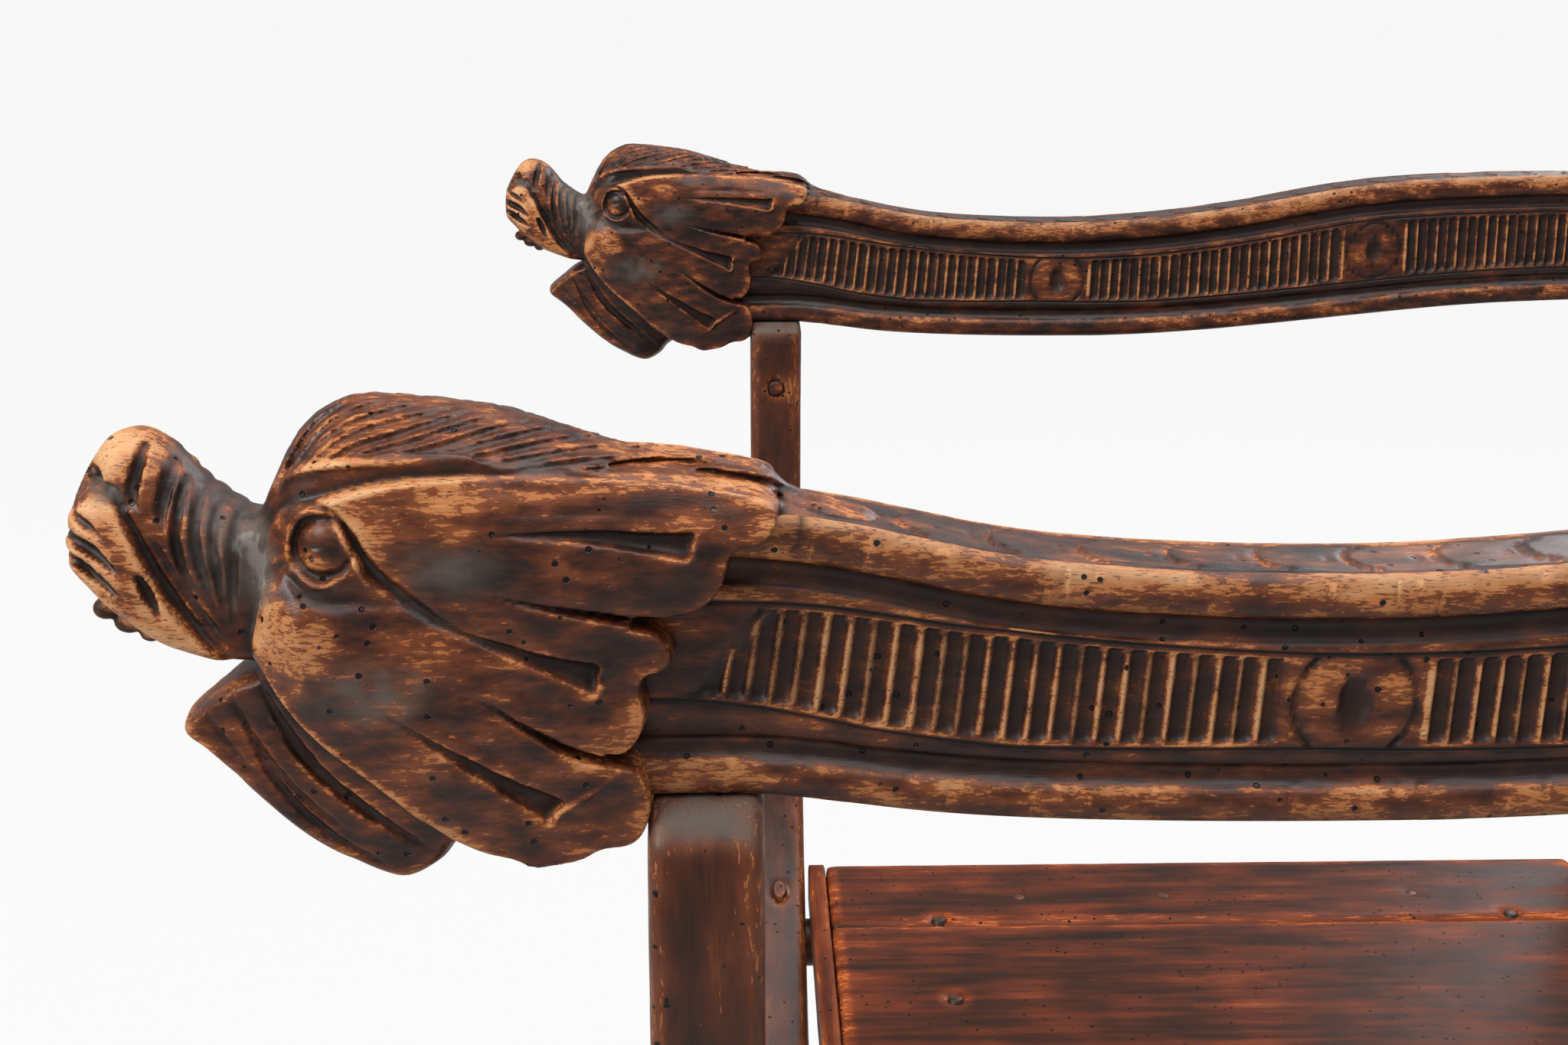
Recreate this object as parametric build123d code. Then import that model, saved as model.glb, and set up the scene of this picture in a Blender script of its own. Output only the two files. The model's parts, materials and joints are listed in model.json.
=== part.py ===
from build123d import *
import os
from math import acos, cos, radians, sin, sqrt

# A folding X-frame armchair in walnut. Two halves, each an arm, two S-curved slats, a foot
# runner and a seat rod, cross side by side and turn on one wooden rod. The left half carries
# the left arm and stands on the right foot. Millimetres, +X right, -Y front, +Z up, with the
# origin on the floor under the middle of the chair.

# ---- Overall sizes ----
arm_spacing = 582.0       # between the middles of the two arms
arm_underside = 682.0     # floor to the arms' underside over the front slats
slat_spacing = 462.0      # front slat to rear slat of one half
foot_spacing = 510.0      # between the middles of the two runners
pivot_height = 279.0
seat_rod_spacing = 380.0

# ---- Slats ----
slat_thick = 26.0
slat_width = 44.0
slat_gap = 0.5            # between the slats of the two halves where they cross
arm_lean = 12.0           # degrees the slat leans outwards just below the arm
cross_slope = 23.0        # degrees the slat slopes where it crosses the other one
shoulder_height = 13.0    # sloping shoulder under the arm
shoulder_width = 33.0     # across the slat at the arm's underside
shoulder_run = 8.0        # the shoulder's cut beyond the slat's edges
curve_start = 160.0       # angle of the upper curve's end above the arm

# ---- Arms ----
arm_thick = 30.0
head_reach = 124.0        # snout in front of the front slat
rear_rise = 10.0          # underside at the rear slat above the underside at the front slat
arm_overhang = 35.0       # behind the left half's rear slat
cheek_half = 27.0         # half the carved head's width at its cheeks
field_depth = 2.5         # sunk panel in the arm's sides
top_bead = 15.0           # from the arm's top edge to the sunk panel
bottom_bead = 13.0        # from the arm's bottom edge to the sunk panel
end_round = 7.0           # rounding of the arm's rear end
tail_height = 66.0        # top of the arm's rear end above the arm's underside level
landing_lip = 2.0         # flat underside behind the front slat
landing_lead = 4.0        # flat underside in front of the rear slat
leaf_gap = 0.5            # between the carved leaf and the front slat
crest_tip = (27.0, 74.0)  # end of the head's crest, behind and above the arm's front landing
crest_foot = (29.0, 70.0)
drawn_spacing = 462.0     # slat spacing for which the arm's long curves are drawn

# ---- Rods, pegs and pins ----
pivot_radius = 14.0
boss_radius = 33.0
boss_thick = 17.0
boss_rim = 6.0
boss_bead = (5.0, 2.0)    # inwards from the rim and up from it
boss_cove = (7.0, 6.0)
boss_dome = 15.0          # from the rim to the flat top
boss_pin_radius = 3.0
slat_pin_radius = 3.0
seat_rod_radius = 12.0
rod_button_radius = 17.0
rod_button_thick = 7.0
tongue_width = 14.0       # along X
tongue_thick = 12.0       # along Y
tongue_in_arm = 28.0
tongue_in_slat = 58.0
tongue_peg_drop = 34.0    # peg's middle under the arm
tongue_peg_radius = 4.0
tongue_peg_proud = 0.8
back_peg_radius = 7.0
back_peg_height = 38.0    # above the arm's underside level
back_peg_depth = 30.0     # in the arm's end
back_knob_radius = 13.0
back_knob_thick = 13.0

# ---- Runners ----
runner_width = 50.0
runner_height = 38.0
runner_overhang = 30.0
runner_relief = 5.0       # hollow under the runner between its two pads
runner_pad = 74.0         # length of each pad
runner_toe = 16.0         # rise of the rounded toe
foot_tenon_width = 24.0
foot_tenon_thick = 14.0
foot_tenon_length = 27.0
runner_peg_radius = 4.0

# ---- Seat ----
seat_thick = 21.0
seat_overhang = 22.0      # beyond the middle of the left seat rod
seat_lip = 2.0            # beyond the stop cleats on the right
seat_side_gap = 2.0       # to the slats in front and behind
edge_board_width = 66.0
middle_board_width = 140.0
nosing_width = 9.0
cleat_length = 42.0       # along Y
cleat_wall = 7.0          # wood around the rod
cleat_reach = 32.0        # from the rod's middle to the cleat's inner end
stop_cleat_width = 15.0
stop_cleat_drop = 8.0     # below the rod's middle
batten_width = 34.0
batten_thick = 16.0
batten_inset = 62.0       # from the seat's front or rear edge to the batten's middle
seat_peg_radius = 3.2
seat_peg_bite = 12.0      # into the cleat or batten
nosing_peg_radius = 2.5
nosing_peg_length = 30.0
nosing_peg_count = 5
cleat_pitch = 72.392      # from the middle of the front cleats to that of the middle ones
cleat_gap = 4.0           # between a batten and the cleat beside it
batten_gap = 2.0          # between a batten's end and the hinge cleats
hinge_peg_wall = 1.8      # wood between a hinge cleat's peg and the rod

# ---- Back ----
back_thick = 22.0
back_end = 24.0           # beyond the middle of each peg
back_end_height = 92.0    # above the pegs, at the ends
back_crown_height = 168.0 # above the pegs, in the middle
back_ear_height = 118.0
lug_radius = 17.0
hook_drop = 13.0          # hook's tip below the peg's middle
hook_inner_cut = 3.0      # cut-off inner corner of the hook
hook_outer_cut = 4.0
back_ear_inset = 48.0     # from the board's end
back_sway_inset = 150.0
back_sway_rise = 14.0     # above the ears
back_bow_inset = 235.0
back_bow_drop = 8.0       # below the crown

# ---- Motion ----
fold_limit = 54.0         # degrees the right half turns before the arms come together

# ---- Clearances ----
running_gap = 0.08        # a hole round a pin that turns in it
fixed_gap = 0.03          # a hole round a peg that stays put
slide_gap = 0.3           # between faces that move past each other
layer_gap = 0.5           # between a turning board or boss and what it lies against
past = 1.0                # how far a cut runs past the face it starts from

# ---- Places worked out from the sizes above ----
half_arm = arm_spacing / 2
half_foot = foot_spacing / 2
half_slat = slat_width / 2
rod_x = seat_rod_spacing / 2
slat_pitch = slat_thick + slat_gap
half_depth = slat_spacing + slat_thick
back_depth = back_thick + 2 * layer_gap + back_knob_thick
chair_depth = head_reach + slat_pitch + half_depth + arm_overhang + back_depth
right_front = head_reach - chair_depth / 2
left_front = right_front + slat_pitch
arm_end = left_front + half_depth + arm_overhang
back_front = arm_end + layer_gap
foot_top = runner_height
peg_z = arm_underside + back_peg_height

slope_sin = sin(radians(cross_slope))
slope_cos = cos(radians(cross_slope))
lean_sin = sin(radians(arm_lean))
lean_cos = cos(radians(arm_lean))
rise = arm_underside - pivot_height
upper_radius = (rise * slope_cos - half_arm * slope_sin) / (1 - slope_sin * lean_cos + slope_cos * lean_sin)
upper_centre = (-half_arm + upper_radius * lean_cos, arm_underside - upper_radius * lean_sin)
lower_radius = ((pivot_height - foot_top) * slope_cos - half_foot * slope_sin) / (1 - slope_sin)
lower_centre = (half_foot - lower_radius, foot_top)
rod_z = upper_centre[1] - sqrt(upper_radius**2 - (upper_centre[0] + rod_x) ** 2)

seat_under = rod_z + seat_rod_radius + slide_gap
seat_top = seat_under + seat_thick
seat_front = left_front + slat_thick + seat_side_gap
seat_rear = right_front + slat_spacing - seat_side_gap
seat_left = -rod_x - seat_overhang
stop_start = rod_x + seat_rod_radius + slide_gap
seat_right = stop_start + stop_cleat_width + seat_lip

LOW_END = (Align.CENTER, Align.CENTER, Align.MIN)


def upper_x(z, radius):
    """X on the left half's upper curve at height z, at a radius about its centre."""
    return upper_centre[0] - sqrt(radius**2 - (z - upper_centre[1]) ** 2)


def along_y(face, y, length):
    """Solid from a face drawn in X and Z, from y rearwards."""
    plane = Plane((0, y, 0), x_dir=(1, 0, 0), z_dir=(0, -1, 0))
    return extrude(plane * face, -length)


def along_x(face, x, length):
    """Solid from a face drawn in Y and Z, from x to the right."""
    return extrude(Plane.YZ.offset(x) * face, length)


def block(x, y, z):
    """Box from three (low, high) pairs."""
    size = (x[1] - x[0], y[1] - y[0], z[1] - z[0])
    middle = ((x[0] + x[1]) / 2, (y[0] + y[1]) / 2, (z[0] + z[1]) / 2)
    return Pos(*middle) * Box(*size)


def pin_x(radius, x, y, z):
    """Cylinder along X between the pair x."""
    return Pos(x[0], y, z) * Rot(0, 90, 0) * Cylinder(radius, x[1] - x[0], align=LOW_END)


def pin_y(radius, x, y, z):
    """Cylinder along Y between the pair y."""
    return Pos(x, y[0], z) * Rot(-90, 0, 0) * Cylinder(radius, y[1] - y[0], align=LOW_END)


def pin_z(radius, x, y, z):
    """Cylinder along Z between the pair z."""
    return Pos(x, y, z[0]) * Cylinder(radius, z[1] - z[0], align=LOW_END)


def handed(side, solid):
    """The left half's solid, or its mirror image for the right half."""
    return solid if side == "left" else mirror(solid, about=Plane.YZ)


def slat_starts(side):
    """Front faces of a half's front and rear slats, with each slat's top height."""
    front = left_front if side == "left" else right_front
    return ((front, arm_underside), (front + slat_spacing, arm_underside + rear_rise))


# ---- Slats ----

def slat_face(top):
    """The S-curve in X and Z, from the left arm to the right foot, cut level at the top."""
    inner, outer = upper_radius - half_slat, upper_radius + half_slat
    under, over = lower_radius - half_slat, lower_radius + half_slat
    slope_angle = 90.0 - cross_slope
    upper_turn = 180.0 + slope_angle - curve_start
    high_edge = CenterArc(upper_centre, inner, curve_start, upper_turn)
    low_edge = CenterArc(upper_centre, outer, curve_start, upper_turn)
    foot_high = CenterArc(lower_centre, over, 0, slope_angle)
    foot_low = CenterArc(lower_centre, under, 0, slope_angle)
    outline = [
        high_edge, Line(high_edge @ 1, foot_high @ 1), foot_high,
        Line(foot_high @ 0, foot_low @ 0), foot_low,
        Line(foot_low @ 1, low_edge @ 1), low_edge, Line(low_edge @ 0, high_edge @ 0),
    ]
    half_top = shoulder_width / 2
    middle = upper_x(top, upper_radius)
    spread = half_slat + shoulder_run
    crown = Polyline(
        (-2 * half_arm, 0), (2 * half_arm, 0), (2 * half_arm, top - shoulder_height),
        (middle + spread, top - shoulder_height), (middle + half_top, top),
        (middle - half_top, top), (middle - spread, top - shoulder_height),
        (-2 * half_arm, top - shoulder_height), close=True,
    )
    return make_face(outline) & make_face(crown)


def slat_blank(front, top):
    """Slat before its holes are bored, with the tenon that goes into its runner."""
    half_tenon = foot_tenon_width / 2
    inset = (slat_thick - foot_tenon_thick) / 2
    tenon = block(
        (half_foot - half_tenon, half_foot + half_tenon),
        (front + inset, front + inset + foot_tenon_thick), (foot_top - foot_tenon_length, foot_top),
    )
    return along_y(slat_face(top), front, slat_thick) + tenon


def tongue(front, top, gap=0.0):
    """Loose tongue between a slat's head and its arm, or its mortise if gap is given."""
    centre_y = front + slat_thick / 2
    half_x, half_y = tongue_width / 2 + gap, tongue_thick / 2 + gap
    return block(
        (-half_arm - half_x, -half_arm + half_x), (centre_y - half_y, centre_y + half_y),
        (top - tongue_in_slat - gap, top + tongue_in_arm + gap),
    )


def tongue_peg(front, top, gap=0.0):
    """Peg that locks the tongue, driven into the slat's inner face."""
    peg_z_here = top - tongue_peg_drop
    inner_face = upper_x(peg_z_here, upper_radius - half_slat)
    start = -half_arm - tongue_width
    return pin_x(tongue_peg_radius + gap, (start - gap, inner_face + tongue_peg_proud),
                 front + slat_thick / 2, peg_z_here)


def runner_peg(front, gap=0.0):
    """Peg through a runner and the slat's tenon in it."""
    reach = runner_width / 2
    return pin_x(runner_peg_radius + gap, (half_foot - reach, half_foot + reach),
                 front + slat_thick / 2, foot_top - foot_tenon_length / 2)


def rod_pin(front, blank, gap=0.0):
    """Pin from the slat's upper edge into the seat rod, flush with the slat."""
    top = rod_z + slat_width
    pin = pin_z(slat_pin_radius + gap, -rod_x, front + slat_thick / 2, (rod_z - gap, top))
    return pin & blank


def pivot_pin(front, blank, gap=0.0):
    """Pin from the slat's upper edge into the pivot rod, flush with the slat."""
    top = pivot_height + slat_width
    pin = pin_z(slat_pin_radius + gap, 0, front + slat_thick / 2, (pivot_height - gap, top))
    return pin & blank


def bored_slat(side, front, top):
    """One slat with its mortise, bores and peg holes, drawn as on the left half."""
    blank = slat_blank(front, top)
    span = (front - past, front + slat_thick + past)
    pivot_gap = fixed_gap if side == "left" else running_gap
    slat = blank - pin_y(pivot_radius + pivot_gap, 0, span, pivot_height)
    slat -= pin_y(seat_rod_radius + fixed_gap, -rod_x, span, rod_z)
    slat -= tongue(front, top, fixed_gap)
    slat -= tongue_peg(front, top, fixed_gap)
    slat -= rod_pin(front, blank, fixed_gap)
    slat -= runner_peg(front, fixed_gap)
    if side == "left":
        slat -= pivot_pin(front, blank, fixed_gap)
    return slat


# ---- Arms ----

def head_outline(front):
    """Edges of the carved beast's head, from the slat's landing round to the neck."""
    def at(points):
        return [(front + back, arm_underside + up) for back, up in points]

    leaf = at([(-leaf_gap, 0), (-leaf_gap, -5), (-5, -8), (-13, -10.5), (-23, -12), (-35, -9), (-43, -12)])
    jaw = at([(-43, -12), (-56, -19), (-67, -16), (-83, -6), (-91, 1), (-101, 13), (-97, 25), (-87, 29)])
    lip = at([(-87, 29), (-97, 34), (-112, 41), (-122, 50), (-124, 65)])
    nose = at([(-124, 65), (-119, 76), (-108, 81.5), (-98, 73), (-85, 64)])
    brow = at([(-85, 64), (-79, 73), (-70, 85), (-59, 89), (-37, 86), (-8, 77), crest_tip])
    return [Polyline(*leaf), Polyline(*jaw), Polyline(*lip), Spline(*nose), Spline(*brow)]


def beam_lines(front, end):
    """Top and bottom curves of the arm behind its head, as points in Y and Z."""
    rear_landing = front + slat_spacing
    top = [(38, 64), (72, 55.5), (110, 51.5), (160, 50), (205, 52.5), (262, 60), (302, 67),
           (342, 71), (383, 72.5), (424, 73)]
    bottom = [(28, 0), (60, -4), (100, -7), (150, -8), (195, -7.5), (258, -3), (298, 1),
              (338, 5), (378, 8), (420, rear_rise - 0.5)]
    stretch = slat_spacing / drawn_spacing
    top = [(front + back * stretch, arm_underside + up) for back, up in top]
    bottom = [(front + back * stretch, arm_underside + up) for back, up in bottom]
    bottom[0] = (front + slat_thick + landing_lip, arm_underside)
    top.append((end - 2 * end_round, arm_underside + tail_height))
    bottom.append((rear_landing - landing_lead, arm_underside + rear_rise))
    return top, bottom


def arm_side_face(front, end):
    """Side outline of the whole arm in Y and Z."""
    top, bottom = beam_lines(front, end)
    head = head_outline(front)
    crest = [(front + back, arm_underside + up) for back, up in (crest_tip, crest_foot)]
    under = arm_underside + rear_rise
    high_corner = (end, top[-1][1] - end_round)
    rear = Polyline(top[-1], high_corner, (end, under + end_round), (end - end_round, under), bottom[-1])
    landing = Line(bottom[0], (front - leaf_gap, arm_underside))
    return make_face(head + [Polyline(*crest, top[0]), Spline(*top), rear, Spline(*bottom), landing])


def arm_plan_face(front, end):
    """Outline of the arm from above, wide at the head's cheeks."""
    beam = arm_thick / 2
    half_widths = [(-head_reach, 7), (-119, 10), (-106, 13), (-90, 15), (-78, 21), (-66, cheek_half),
                   (-44, cheek_half), (-18, 25), (2, 23), (20, 20), (34, beam)]
    left = [(-half_arm - half, front + back) for back, half in half_widths]
    right = [(-half_arm + half, front + back) for back, half in reversed(half_widths)]
    corners = left + [(-half_arm - beam, end), (-half_arm + beam, end)] + right
    return make_face(Polyline(*corners, close=True))


def sunk_panel(front, end):
    """Face of the sunk panel between the beads in the arm's side."""
    top, bottom = beam_lines(front, end)
    panel_end = end - 2 * end_round
    high = [(y, z - top_bead) for y, z in top]
    low = [(y, z + bottom_bead) for y, z in bottom]
    high[-1] = (panel_end, high[-1][1])
    low.append((panel_end, arm_underside + rear_rise + bottom_bead))
    return make_face([Spline(*high), Line(high[-1], low[-1]), Spline(*low), Line(low[0], high[0])])


def arm(side):
    """Carved arm with its beast's head, mortises and the hole for the back's peg."""
    (front, low_top), (rear, high_top) = slat_starts(side)
    end = arm_end
    profile = along_x(arm_side_face(front, end), -half_arm - cheek_half, 2 * cheek_half)
    plan = extrude(arm_plan_face(front, end), 2 * arm_underside)
    body = profile & plan
    panel = sunk_panel(front, end)
    beam = arm_thick / 2
    for start in (-half_arm - beam, -half_arm + beam - field_depth):
        body -= along_x(panel, start, field_depth)
    body -= tongue(front, low_top, fixed_gap)
    body -= tongue(rear, high_top, fixed_gap)
    body -= pin_y(back_peg_radius + fixed_gap, -half_arm, (end - back_peg_depth - past, end + past), peg_z)
    return handed(side, body)


# ---- Runners ----

def runner(side):
    """Foot runner with rounded toes and a hollow between its pads, on the far side of the half."""
    front, rear = (start for start, top in slat_starts(side))
    low, high = front - runner_overhang, rear + slat_thick + runner_overhang
    top = runner_height - runner_toe
    outline = Polyline(
        (low + runner_toe / 2, 0), (low + runner_pad, 0), (low + runner_pad + runner_relief, runner_relief),
        (high - runner_pad - runner_relief, runner_relief), (high - runner_pad, 0),
        (high - runner_toe / 2, 0), (high, runner_toe / 2), (high, top),
        (high - runner_toe, runner_height), (low + runner_toe, runner_height), (low, top),
        (low, runner_toe / 2), close=True,
    )
    body = along_x(make_face(outline), half_foot - runner_width / 2, runner_width)
    body -= slat_mortise(front)
    body -= slat_mortise(rear)
    body -= runner_peg(front, fixed_gap)
    body -= runner_peg(rear, fixed_gap)
    return handed(side, body)


def slat_mortise(front):
    """Mortise for a slat's tenon in its runner."""
    half_x = foot_tenon_width / 2 + fixed_gap
    half_y = foot_tenon_thick / 2 + fixed_gap
    middle = front + slat_thick / 2
    return block((half_foot - half_x, half_foot + half_x), (middle - half_y, middle + half_y),
                 (foot_top - foot_tenon_length - past, foot_top + past))


# ---- Rods and bosses ----

def pivot_rod():
    """The rod that all four slats cross on."""
    front, rear = boss_places()
    rod = pin_y(pivot_radius, 0, (front - boss_thick, rear + boss_thick), pivot_height)
    for blank_front in (left_front, left_front + slat_spacing):
        rod -= pin_z(slat_pin_radius + fixed_gap, 0, blank_front + slat_thick / 2,
                     (pivot_height - fixed_gap, pivot_height + slat_width))
    return rod - boss_pins(fixed_gap)


def boss_places():
    """Seats of the front and rear bosses on the outermost slats."""
    return right_front - layer_gap, left_front + half_depth + layer_gap


def boss_pins(gap=0.0):
    """Cross pins through the bosses and the pivot rod."""
    front, rear = boss_places()
    reach = boss_radius - boss_rim
    return [pin_x(boss_pin_radius + gap, (-reach - gap, reach + gap), y, pivot_height)
            for y in (front - boss_thick / 2, rear + boss_thick / 2)]


def boss(place, outwards):
    """Turned boss with a stepped rim, opening outwards along Y."""
    profile = Polyline(
        (pivot_radius + fixed_gap, 0), (boss_radius, 0), (boss_radius, boss_rim),
        (boss_radius - boss_bead[0], boss_rim + boss_bead[1]), (boss_radius - boss_cove[0], boss_rim + boss_cove[1]),
        (boss_radius - boss_dome, boss_thick), (pivot_radius + fixed_gap, boss_thick), close=True,
    )
    turned = revolve(Plane.XZ * make_face(profile), Axis.Z)
    turned = Rot(90 if outwards < 0 else -90, 0, 0) * turned
    return Pos(0, place, pivot_height) * turned - boss_pins(fixed_gap)


def seat_rod(side):
    """Seat rod with a turned button on the end that faces out of the chair."""
    front, rear = (start for start, top in slat_starts(side))
    low, high = front + slide_gap, rear + slat_thick
    if side == "left":
        button = (high, high + rod_button_thick)
    else:
        low, high = front, high - slide_gap
        button = (front - rod_button_thick, front)
    rod = pin_y(seat_rod_radius, -rod_x, (low, high), rod_z) + pin_y(rod_button_radius, -rod_x, button, rod_z)
    for slat_front in (front, rear):
        rod -= pin_z(slat_pin_radius + fixed_gap, -rod_x, slat_front + slat_thick / 2,
                     (rod_z - fixed_gap, rod_z + slat_width))
    return handed(side, rod)


# ---- Seat ----

def seat_edges():
    """Left and right edges of the three seat boards."""
    first = seat_left + edge_board_width
    second = first + middle_board_width
    return {"left": (seat_left, first), "middle": (first, second), "right": (second, seat_right)}


def cleat_rows():
    """Y of the middle of the front, middle and rear cleats."""
    inset = cleat_length / 2 + batten_inset + batten_width / 2 + cleat_gap
    return seat_front + inset, seat_front + inset + cleat_pitch, seat_rear - inset


def batten_rows():
    """Y of the middle of the two battens."""
    return seat_front + batten_inset, seat_rear - batten_inset


def batten_ends():
    """X of the battens' ends, inboard of the hinge cleats and of the sliding rod's travel."""
    return -rod_x + cleat_reach + batten_gap, rod_x - 2 * seat_rod_radius - rod_travel() + slide_gap


def rod_travel():
    """How far the right rod slides along the seat's underside as the chair folds."""
    rod_radius = sqrt(rod_x**2 + (rod_z - pivot_height) ** 2)
    open_angle = 2 * acos((rod_z - pivot_height) / rod_radius)
    folded = 2 * rod_radius * sin((open_angle - radians(fold_limit)) / 2)
    return 2 * rod_x - folded


def seat_pegs(gap=0.0):
    """Pegs through the boards into the cleats and battens, flush with the seat."""
    hinge_x = -rod_x + seat_rod_radius + seat_peg_radius + hinge_peg_wall
    stop_x = stop_start + stop_cleat_width / 2
    start, end = batten_ends()
    places = [(x, y) for x in (hinge_x, stop_x) for y in cleat_rows()]
    for left, right in seat_edges().values():
        middle = (max(left, start) + min(right, end)) / 2
        places += [(middle, y) for y in batten_rows()]
    return [pin_z(seat_peg_radius + gap, x, y, (seat_under - seat_peg_bite - gap, seat_top)) for x, y in places]


def nosing_pegs(gap=0.0):
    """Pegs through the two nosings into the boards' end grain."""
    step = (seat_right - seat_left) / nosing_peg_count
    height = seat_under + seat_thick / 2
    pegs = []
    for index in range(nosing_peg_count):
        x = seat_left + step * (index + 0.5)
        pegs.append(pin_y(nosing_peg_radius + gap, x, (seat_front, seat_front + nosing_peg_length + gap), height))
        pegs.append(pin_y(nosing_peg_radius + gap, x, (seat_rear - nosing_peg_length - gap, seat_rear), height))
    return pegs


def seat_board(name):
    """One seat board with its grain along Y."""
    left, right = seat_edges()[name]
    board = block((left, right), (seat_front + nosing_width, seat_rear - nosing_width), (seat_under, seat_top))
    return board - (seat_pegs(fixed_gap) + nosing_pegs(fixed_gap))


def nosing(y):
    """Strip across the boards' ends."""
    strip = block((seat_left, seat_right), (y, y + nosing_width), (seat_under, seat_top))
    return strip - nosing_pegs(fixed_gap)


def hinge_cleats():
    """Cleats under the seat that turn on the left seat rod."""
    cleats = []
    half = cleat_length / 2
    low = rod_z - seat_rod_radius - cleat_wall
    for y in cleat_rows():
        cleat = block((-rod_x - seat_rod_radius - cleat_wall, -rod_x + cleat_reach), (y - half, y + half),
                      (low, seat_under))
        cleat -= pin_y(seat_rod_radius + running_gap, -rod_x, (y - half - past, y + half + past), rod_z)
        cleat -= seat_pegs(fixed_gap)
        cleats.append(cleat)
    return cleats


def stop_cleats():
    """Cleats that catch the outside of the right seat rod and stop the chair from spreading."""
    half = cleat_length / 2
    reach = (stop_start, stop_start + stop_cleat_width)
    return [block(reach, (y - half, y + half), (rod_z - stop_cleat_drop, seat_under)) - seat_pegs(fixed_gap)
            for y in cleat_rows()]


def battens():
    """Battens that hold the three boards flat."""
    half = batten_width / 2
    return [block(batten_ends(), (y - half, y + half), (seat_under - batten_thick, seat_under))
            - seat_pegs(fixed_gap) for y in batten_rows()]


# ---- Back ----

def back_face():
    """Outline of the back board in X and Z, with the hinge lug and the hook under its ends."""
    low = peg_z + back_peg_radius + slide_gap
    end = half_arm + back_end
    hook_start = half_arm + back_peg_radius + slide_gap
    hook_tip = peg_z - hook_drop
    crown = peg_z + back_crown_height
    crest = [(end, peg_z + back_end_height), (end - back_ear_inset, peg_z + back_ear_height),
             (end - back_sway_inset, peg_z + back_ear_height + back_sway_rise),
             (end - back_bow_inset, crown - back_bow_drop), (0, crown)]
    mirrored = [(-x, z) for x, z in reversed(crest[:-1])]
    lower = Polyline(
        (-end, peg_z + back_end_height), (-end, low), (hook_start, low),
        (hook_start, hook_tip + hook_inner_cut), (hook_start + hook_inner_cut, hook_tip),
        (end - hook_outer_cut, hook_tip), (end, hook_tip + hook_outer_cut), (end, peg_z + back_end_height),
    )
    return make_face([lower, Spline(*(crest + mirrored))])


def back_board():
    """Shaped back board: turns on the left peg and rests on the right one."""
    lug = Pos(-half_arm, peg_z) * Circle(lug_radius)
    cheek = Pos(-half_arm, peg_z + lug_radius / 2) * Rectangle(2 * lug_radius, lug_radius)
    board = along_y(back_face() + lug + cheek, back_front, back_thick)
    span = (back_front - past, back_front + back_thick + past)
    return board - pin_y(back_peg_radius + running_gap, -half_arm, span, peg_z)


def back_peg(side):
    """Turned peg in an arm's rear end, with a knob that keeps the back board on."""
    knob = back_front + back_thick + layer_gap
    shank = pin_y(back_peg_radius, -half_arm, (arm_end - back_peg_depth, knob + past), peg_z)
    head = pin_y(back_knob_radius, -half_arm, (knob, knob + back_knob_thick), peg_z)
    return handed(side, shank + head)


# ---- Nodes ----

def half_nodes(side):
    """Arm, slats, runner, rod, tongues and pegs of one half."""
    other = "right" if side == "left" else "left"
    places = slat_starts(side)
    blanks = [slat_blank(front, top) for front, top in places]
    nodes = {side + "_arm": [arm(side)], other + "_runner": [runner(side)], side + "_seat_rod": [seat_rod(side)]}
    for name, (front, top) in zip(("front", "rear"), places):
        nodes[side + "_" + name + "_slat"] = [handed(side, bored_slat(side, front, top))]
    nodes[side + "_arm_tongues"] = [
        handed(side, tongue(front, top) - tongue_peg(front, top, fixed_gap)) for front, top in places]
    nodes[side + "_tongue_pegs"] = [handed(side, tongue_peg(front, top)) for front, top in places]
    nodes[side + "_rod_pins"] = [handed(side, rod_pin(front, blank)) for (front, top), blank in zip(places, blanks)]
    nodes[other + "_runner_pegs"] = [handed(side, runner_peg(front)) for front, top in places]
    if side == "left":
        nodes["pivot_slat_pins"] = [pivot_pin(front, blank) for (front, top), blank in zip(places, blanks)]
    return nodes


def all_nodes():
    """Every piece of the chair by name."""
    front_boss, rear_boss = boss_places()
    nodes = {}
    for side in ("left", "right"):
        nodes.update(half_nodes(side))
        nodes[side + "_back_peg"] = [back_peg(side)]
    nodes["pivot_rod"] = [pivot_rod()]
    nodes["front_pivot_boss"] = [boss(front_boss, -1)]
    nodes["rear_pivot_boss"] = [boss(rear_boss, 1)]
    nodes["pivot_boss_pins"] = boss_pins()
    for name in seat_edges():
        nodes["seat_" + name + "_board"] = [seat_board(name)]
    nodes["seat_front_nosing"] = [nosing(seat_front)]
    nodes["seat_rear_nosing"] = [nosing(seat_rear - nosing_width)]
    nodes["seat_hinge_cleats"] = hinge_cleats()
    nodes["seat_stop_cleats"] = stop_cleats()
    nodes["seat_battens"] = battens()
    nodes["seat_pegs"] = seat_pegs()
    nodes["seat_nosing_pegs"] = nosing_pegs()
    nodes["back_board"] = [back_board()]
    return nodes


def write_parts():
    """Writes one STEP file for each node."""
    os.makedirs("parts", exist_ok=True)
    for name, solids in all_nodes().items():
        pieces = [piece for solid in solids for piece in solid.solids()]
        shape = pieces[0] if len(pieces) == 1 else Compound(children=pieces)
        export_step(shape, os.path.join("parts", name + ".step"))


write_parts()
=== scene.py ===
import itertools
import json
import math

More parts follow.
